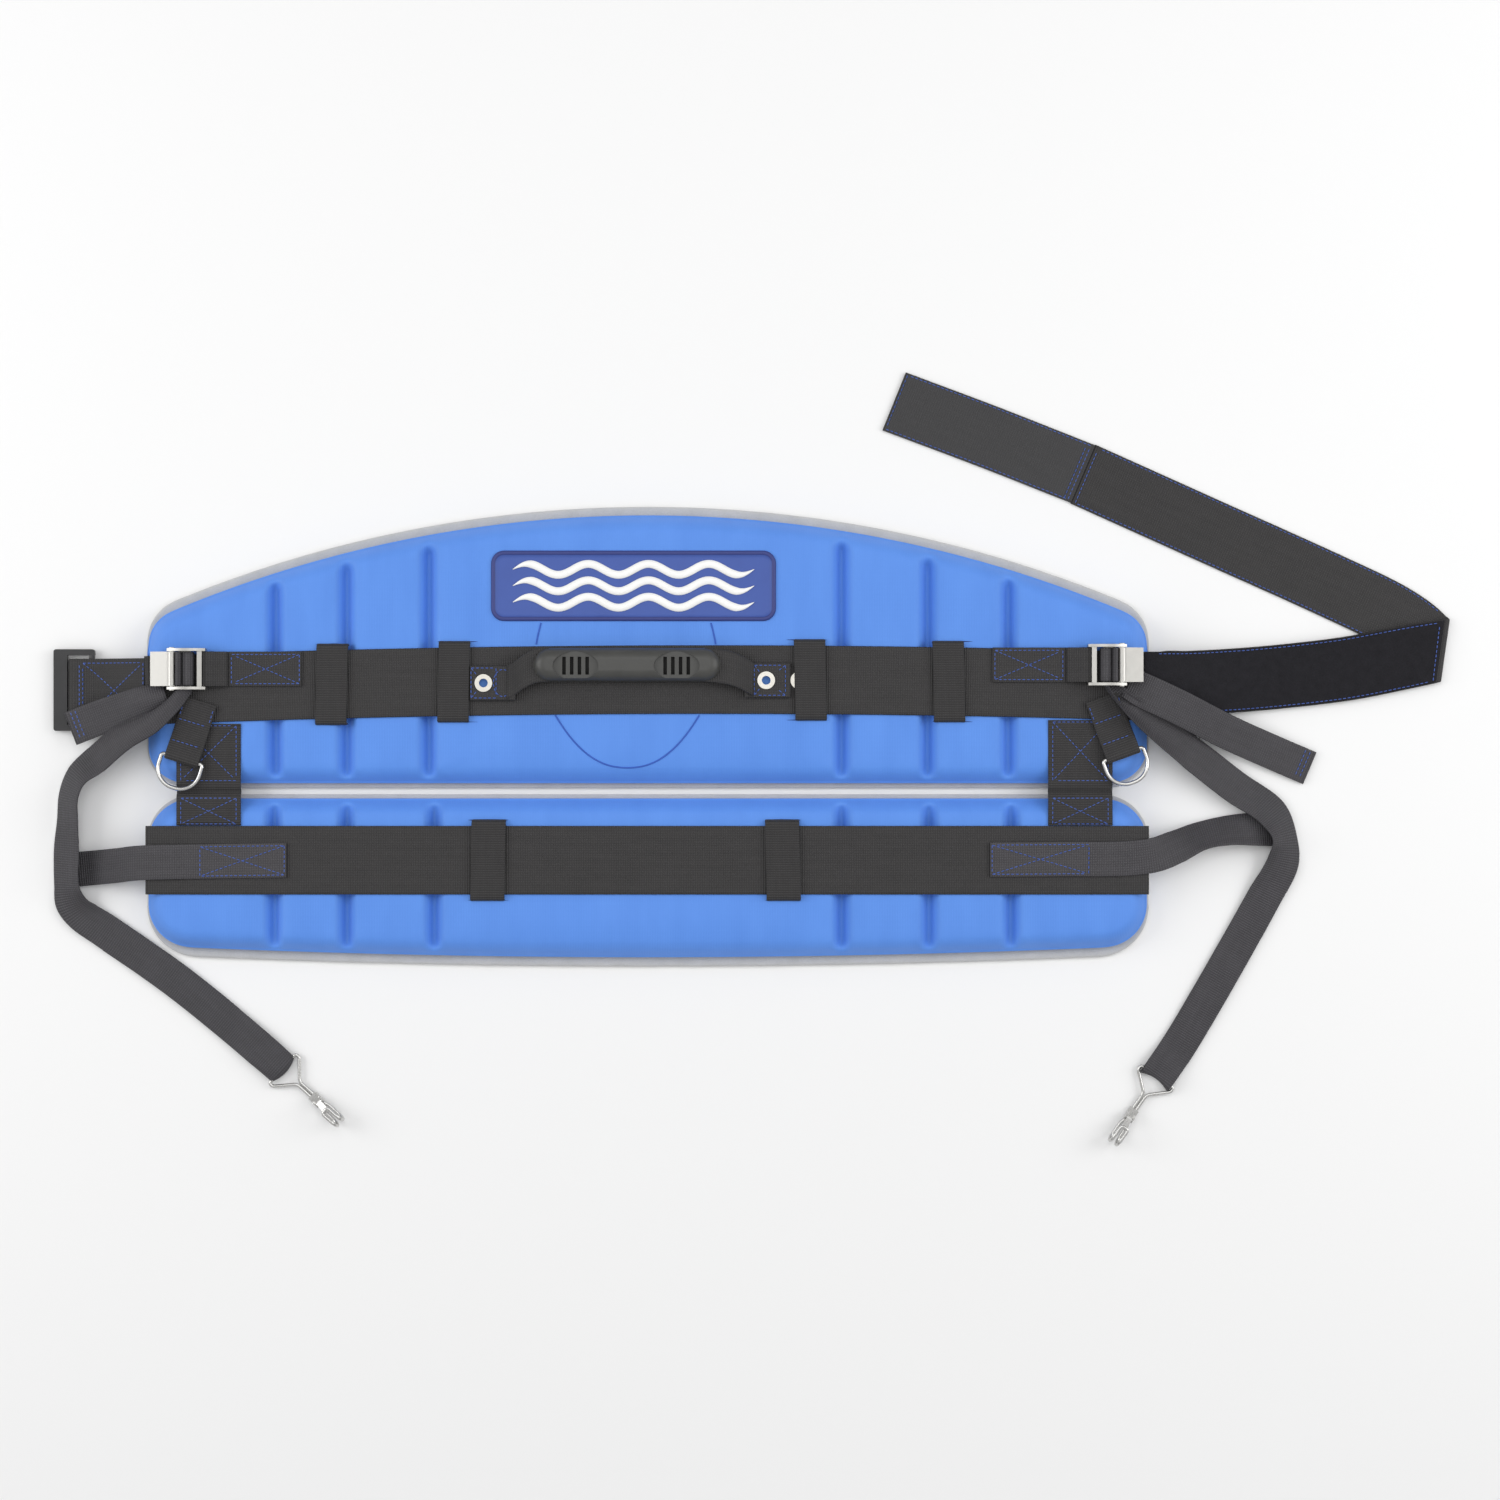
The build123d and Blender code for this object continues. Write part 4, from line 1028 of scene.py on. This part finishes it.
STRAP_ROUTE = {
    "left": (
        (-0.3355, 0.004, 0.0262, -49, 40, 0.010), (-0.347, -0.010, 0.0290, -52, 44, 0.014),
        (-0.361, -0.022, 0.0315, -55, 38, 0.020), (-0.383, -0.034, 0.025, -57, 30, 0.024),
        (-0.405, -0.052, 0.0135, -50, 32), (-0.418, -0.063, 0.0120, -35, 42),
        (-0.424, -0.077, 0.0115, -14, 46), (-0.425, -0.096, 0.0110, -2, 43),
        (-0.426, -0.117, 0.0100, -3, 34), (-0.426, -0.144, 0.0090, 0, 34), (-0.423, -0.157, 0.006, 16, 15),
        (-0.415, -0.166, 0.004, 40, 5), (-0.399, -0.177, UPPER_Z, 54, 0), (-0.349, -0.212, UPPER_Z, 54, 0),
        (-0.310, -0.243, UPPER_Z, 51, 0), (-0.283, -0.2655, 0.0042, 49, 0),
    ),
    "right": (
        (0.3335, 0.006, 0.0258, -132, 40, 0.010), (0.341, -0.004, 0.0265, -131, 36, 0.013),
        (0.351, -0.013, 0.0262, -129, 30, 0.018), (0.367, -0.025, 0.0245, -125, 24, 0.022),
        (0.399, -0.047, 0.0135, -124, 18), (0.431, -0.071, 0.006, -127, 15),
        (0.458, -0.090, 0.0065, -143, 20), (0.467, -0.108, 0.0095, -170, 38),
        (0.466, -0.127, 0.006, -193, 15), (0.453, -0.152, 0.0032, -206, 3),
        (0.441, -0.174, UPPER_Z, -209, 0), (0.415, -0.220, UPPER_Z, -210, 0),
        (0.390, -0.262, UPPER_Z, -212, 0), (0.381, -0.2745, 0.0042, -214, 0),
    ),
}
RETURN_ROUTE = {
    "left": (
        (-0.310, -0.243, LOWER_Z, 51, 0), (-0.349, -0.212, LOWER_Z, 54, 0),
        (-0.394, -0.181, LOWER_Z, 54, 0),
    ),
    "right": (
        (0.390, -0.262, LOWER_Z, -212, 0), (0.415, -0.220, LOWER_Z, -210, 0),
        (0.439, -0.178, LOWER_Z, -209, 0),
    ),
}
TAIL_ROUTE = {
    "left": (
        (-0.350, -0.0045, 0.0250, -69, 0, 0.020), (-0.366, -0.009, 0.0246, -69, 0, 0.024),
        (-0.384, -0.015, 0.0182, -69, 0), (-0.402, -0.0205, 0.0118, -69, 0),
        (-0.423, -0.0285, 0.010, -69, 0),
    ),
    "right": (
        (0.350, 0.005, 0.0235, -115, 0, 0.022), (0.362, -0.001, 0.0240, -115, 0),
        (0.375, -0.007, 0.0262, -115, 0), (0.390, -0.014, 0.0235, -115, 0),
        (0.425, -0.031, 0.011, -114, 0), (0.455, -0.044, 0.005, -113, 0),
        (0.4865, -0.0574, 0.002, -113, 0),
    ),
}
SEAT_STRAP_ROUTE = {
    "left": (
        (-0.263, -0.1244, SEWN, -90, 0), (-0.320, -0.1252, SEWN, -90, 0), (-0.372, -0.1265, SEWN, -90, 0),
        (-0.388, -0.1285, 0.0155, -88, 0), (-0.402, -0.130, 0.0072, -86, 0),
        (-0.412, -0.131, 0.0036, -85, 0), (-0.424, -0.132, 0.0030, -85, 0),
    ),
    "right": (
        (0.250, -0.124, SEWN, -90, 0), (0.300, -0.1236, SEWN, -90, 0), (0.350, -0.123, SEWN, -90, 0),
        (0.370, -0.1205, SEWN, -82, 0), (0.387, -0.1145, 0.0185, -70, 22), (0.405, -0.107, 0.013, -74, 38),
        (0.425, -0.103, 0.0098, -84, 34), (0.447, -0.102, 0.0066, -88, 18),
        (0.462, -0.102, 0.0030, -90, 4),
    ),
}


def hook_wrap(side):
    """The half turn round the hook's bar, from the upper layer to the lower one."""
    heading = radians(HOOK_HEADING[side])
    across = HOOK_HEADING[side] - 90 * SIDES[side]
    radius = HOOK_BAR_R + 0.00015 + WEB_THIN / 2
    x, y = HOOK_AT[side]
    for out, up in half_turn((0, HOOK_BAR_Z), radius, 90, -90):
        yield x + out * cos(heading), y + out * sin(heading), up, across, 0, 0.0244


def hook_strap(side):
    route = (*STRAP_ROUTE[side], *hook_wrap(side), *RETURN_ROUTE[side])
    band = Band(f"{side}_strap_webbing", route, STRAP, WEB_THIN, STRAPPING, step=STRAP_STEP)
    band.sew("back_pad", f"{side}_hook_strap")


def strap_tail(side):
    band = Band(f"{side}_tail_webbing", TAIL_ROUTE[side], STRAP, WEB_THIN, STRAPPING, step=STRAP_STEP)
    band.sew("back_pad", f"{side}_strap_tail")
    for inset in (0.0045, 0.0080):
        back_thread.line(band, (-0.88, band.length - inset), (0.88, band.length - inset))


def seat_branch(side):
    band = Band(f"{side}_branch_webbing", SEAT_STRAP_ROUTE[side], STRAP, WEB_THIN, STRAPPING, step=STRAP_STEP)
    seat_thread.box(band, 0.84, 0.0015, 0.063 if side == "left" else 0.072)
    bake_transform(band.piece)
    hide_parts(f"{side}_seat_strap")


for side in SIDES:
    hook_strap(side)
    strap_tail(side)
    seat_branch(side)


# ---- Waist belt ----
CREASE_AT = (0.5844, 0.029)
CREASE_ANGLE = 82
SEAM_AT = (0.320, 0.159)
TIP_AT = (0.181, 0.2125)
SEAM_ACROSS = 67

FOLD_TOP = 0.0036  # middle of the belt where its end is folded under it,
FOLD_LOW = 0.0008  # and of the folded end
WAIST_ROUTE = (
    (0.3661, belt_middle(BELT_HALF), PAD_TOP + WEB / 2, 90, 0), (0.378, 0.0048, 0.020, 91, 0),
    (0.395, 0.005, 0.015, 92, 0), (0.430, 0.007, 0.0068, 93, 0), (0.455, 0.009, 0.0042, 95, 0),
    (0.485, 0.0121, FOLD_TOP, 96, 0), (0.515, 0.016, FOLD_TOP, 97, 0), (0.560, 0.0245, FOLD_TOP, 90, 0),
    (*CREASE_AT, FOLD_TOP, CREASE_ANGLE, 0),
)
FOLD_ROUTE = (
    (CREASE_AT[0] + 0.0013, CREASE_AT[1] + 0.0003, 0.0022, CREASE_ANGLE, 0),
    (CREASE_AT[0] - 0.0004, CREASE_AT[1] + 0.002, FOLD_LOW, CREASE_ANGLE, 0),
    (0.570, 0.0415, FOLD_LOW, 75, 0), (0.545, 0.0565, FOLD_LOW, 67, 0), (0.500, 0.078, FOLD_LOW, 66, 0),
    (0.410, 0.1185, FOLD_LOW, 66, 0), (*SEAM_AT, FOLD_LOW, SEAM_ACROSS, 0),
)
belt = Band("waist_belt_webbing", (*WAIST_ROUTE, *FOLD_ROUTE), WAIST_WIDTH, WEB)
from_crease = np.hypot(belt.middle[:, 0] - CREASE_AT[0] - 0.0013, belt.middle[:, 1] - CREASE_AT[1])
fold_at = belt.reach[int(np.argmin(from_crease))]
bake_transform(belt.piece)
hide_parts("waist_belt", "waist_belt_tail")

TAPE_RISE = WEB / 2 + 0.0006 + 0.00014
TAPE_ROUTE = [(0.361, 0.0047, BELT_TOP + 0.0008, 90, 0), (0.370, 0.0047, 0.0206 + TAPE_RISE, 90, 0)]
TAPE_ROUTE += [(x, y, z + TAPE_RISE, across, lean) for x, y, z, across, lean in WAIST_ROUTE[1:-1]]
TAPE_ROUTE += [(0.582, 0.0286, FOLD_TOP + TAPE_RISE, CREASE_ANGLE, 0)]
tape = Band("loop_tape_pile", TAPE_ROUTE, WAIST_WIDTH - 0.001, 0.0012, PILE)
finish_piece(tape.piece, "back_pad", "loop_tape", "loop_tape")
for s in (-0.93, 0.93):
    back_thread.line(tape, (s, 0.012), (s, tape.length - 0.003))
    tail_thread.line(belt, (s, fold_at + 0.012), (s, belt.length - 0.002))
back_thread.line(tape, (-0.93, tape.length - 0.003), (0.93, tape.length - 0.003))

HOOK_TAPE_Z = 0.00095
hook_route = ((*SEAM_AT, HOOK_TAPE_Z, SEAM_ACROSS, 0), (0.25, 0.1866, HOOK_TAPE_Z, 67.5, 0),
              (*TIP_AT, HOOK_TAPE_Z, 68, 0))
hook_tape = Band("hook_tape_webbing", hook_route, 0.046, 0.0019, TAPE_BACK)
finish_piece(hook_tape.piece, "belt_tail", "hook_tape", "hook_tape")
tail_thread.box(hook_tape, 0.93, 0.003, hook_tape.length - 0.002, cross=False)
tail_thread.line(hook_tape, (-0.93, 0.006), (0.93, 0.006))
tail_thread.line(belt, (-0.93, belt.length - 0.003), (0.93, belt.length - 0.003))

# The doubled left end round the slide loop's bar: X and Z.
LOOP_PROFILE = ((-0.373, 0.0164), (-0.396, 0.0076), (-0.4035, 0.0012), (-0.4225, 0.00085), (-0.4246, 0.0022),
                (-0.4250, 0.0039), (-0.4246, 0.0056), (-0.4228, 0.0070), (-0.404, 0.0070), (-0.396, 0.0091),
                (-0.376, 0.0174), (-0.3665, 0.0208))
loop_route = [(x, belt_middle(-BELT_HALF), z, 90, 0) for x, z in LOOP_PROFILE]
loop_band = Band("belt_loop_webbing", loop_route, WAIST_WIDTH, WEB, step=0.002)
loop_band.sew("back_pad", "left_belt_loop")
back_thread.box(loop_band, 0.86, 0.0705, loop_band.length - 0.001)
back_thread.line(loop_band, (-0.9, 0.068), (0.9, 0.068))


# ---- Badge ----
BADGE_LOW, BADGE_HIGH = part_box("badge_plate")
BADGE_MID = ((BADGE_LOW.x + BADGE_HIGH.x) / 2, (BADGE_LOW.y + BADGE_HIGH.y) / 2)


CORNER_POINTS = 10  # on each corner of the badge


def rounded_ring(inset, r, z):
    """Points round a rounded rectangle inside the badge's outline."""
    half_x, half_y = (BADGE_HIGH.x - BADGE_LOW.x) / 2 - inset, (BADGE_HIGH.y - BADGE_LOW.y) / 2 - inset
    for corner, (sx, sy) in enumerate(((1, 1), (-1, 1), (-1, -1), (1, -1))):
        for k in range(CORNER_POINTS):
            angle = pi / 2 * (corner + k / (CORNER_POINTS - 1))
            x = BADGE_MID[0] + sx * (half_x - r) + r * cos(angle)
            y = BADGE_MID[1] + sy * (half_y - r) + r * sin(angle)
            yield x, y, z


def badge():
    """A plate with a raised rolled rim round a sunk field."""
    rings = ((0, 0.0095, 0.0), (0.0002, 0.0093, 0.0009), (0.0010, 0.0085, 0.0015), (0.0024, 0.0071, 0.0015),
             (0.0031, 0.0064, 0.0011), (0.0033, 0.0062, 0.0007), (0.0060, 0.0042, 0.0006))
    points = [p for inset, r, z in rings for p in rounded_ring(inset, r, PAD_TOP + z)]
    around = 4 * CORNER_POINTS
    piece = make_piece("badge", points, tube_faces(len(rings), around), BADGE)
    piece.data.materials.append(BADGE_EDGE)
    for face in piece.data.polygons[:4 * around]:  # the rim
        face.material_index = 1
    finish_piece(piece, "back_pad", "badge", "badge_plate")


def wave(number, y, amplitude, thick):
    """One raised stripe of the motif: a sine wave with rounded sides and pointed ends."""
    points, count, length = [], 97, 0.176
    for i in range(count):
        t = i / (count - 1)
        x = BADGE_MID[0] + (t - 0.5) * length
        rise = amplitude * sin(t * 4 * 2 * pi)
        slope = amplitude * 8 * pi / length * cos(t * 8 * pi)
        size = hypot(1, slope)
        nx, ny = -slope / size, 1 / size
        half = thick / 2 * min(1.0, 12 * min(t, 1 - t) + 0.08)
        for s, z in ((-1, 0.0005), (-0.9, 0.0014), (0, 0.0017), (0.9, 0.0014), (1, 0.0005)):
            points.append((x + nx * s * half, BADGE_MID[1] + y + rise + ny * s * half, PAD_TOP + z))
    return make_piece(f"badge_wave_{number}", points, tube_faces(count, 5, flip=True), BADGE_WHITE)


badge()
for number in range(3):
    stripe = wave(number + 1, 0.012 * (1 - number), 0.004, 0.006)
    finish_piece(stripe, "back_pad", "badge_art", *(("badge_motif",) if number == 0 else ()))

back_thread.make("back_pad")
seat_thread.make("seat_pad")
tail_thread.make("belt_tail")


# ---- Carried-over parts ----
LOOKS = {"d_ring": STEEL, "hook_wire": STEEL, "hook_collar": STEEL, "hook_gate": STEEL,
         "buckle_spring": SPRING, "buckle_frame": SATIN, "buckle_lever": SATIN, "buckle_pin": SATIN}
for side in SIDES:
    for part, material in LOOKS.items():
        repaint(f"{side}_{part}", material)
repaint("grommets", EYELET)
repaint("slide_loop", PLASTIC)
repaint("handle_grip", GRIP)


# ---- Stage, lights and camera ----
FLOOR_HALF = 6.0
FLOOR_Z = -0.0003


def stage():
    points = [(x * FLOOR_HALF, y * FLOOR_HALF, FLOOR_Z) for x, y in CORNERS]
    paint = Paint("stage_floor", (0.83, 0.83, 0.83), 0.9)
    floor = make_piece("stage_floor", points, [(0, 1, 2, 3)], paint.material)


def area_light(name, place, aim, size, power):
    data = bpy.data.lights.new(name, "AREA")
    data.size = size
    data.energy = power
    lamp = bpy.data.objects.new(name, data)
    lamp.location = place
    direction = [a - p for a, p in zip(aim, place)]
    lamp.rotation_euler = Vector(direction).to_track_quat("-Z", "Y").to_euler()
    link(lamp)


CAMERA_AT = (0.075, -0.044)
CAMERA_HIGH = 2.4
FRAME_WIDE = 1.104  # width of the floor that the camera sees
SENSOR_MM = 36


def camera():
    data = bpy.data.cameras.new("camera")
    data.sensor_width = SENSOR_MM
    data.lens = SENSOR_MM * CAMERA_HIGH / FRAME_WIDE
    eye = bpy.data.objects.new("camera", data)
    eye.location = (*CAMERA_AT, CAMERA_HIGH)
    link(eye)
    bpy.context.scene.camera = eye


def world():
    """A studio dome: a soft grey overhead, brightest halfway up and darker at the horizon."""
    made = bpy.data.worlds.new("studio")
    made.use_nodes = True
    tree = made.node_tree
    coords = tree.nodes.new("ShaderNodeTexCoord")
    split = tree.nodes.new("ShaderNodeSeparateXYZ")
    ramp = tree.nodes.new("ShaderNodeValToRGB")
    tree.links.new(coords.outputs["Generated"], split.inputs[0])
    tree.links.new(split.outputs["Z"], ramp.inputs[0])
    tree.links.new(ramp.outputs[0], tree.nodes["Background"].inputs["Color"])
    tree.nodes["Background"].inputs["Strength"].default_value = 0.80
    tones = ((0.0, 0.22), (0.3, 0.55), (0.7, 0.95), (1.0, 0.62))
    ramp.color_ramp.elements[0].position = tones[0][0]
    ramp.color_ramp.elements[1].position = tones[-1][0]
    for place, _ in tones[1:-1]:
        ramp.color_ramp.elements.new(place)
    for element, (_, tone) in zip(ramp.color_ramp.elements, tones):
        element.color = (tone, tone, tone, 1)
    bpy.context.scene.world = made


stage()
area_light("left_softbox", (-1.7, 0.25, 1.1), (0, 0, 0), 1.2, 15)
area_light("right_softbox", (1.8, 0.25, 1.1), (0.1, 0, 0), 1.2, 15)
area_light("top_softbox", (0.1, 0.45, 2.1), (0.05, 0, 0), 1.4, 11)
camera()
world()
bpy.context.scene.view_settings.view_transform = "Standard"
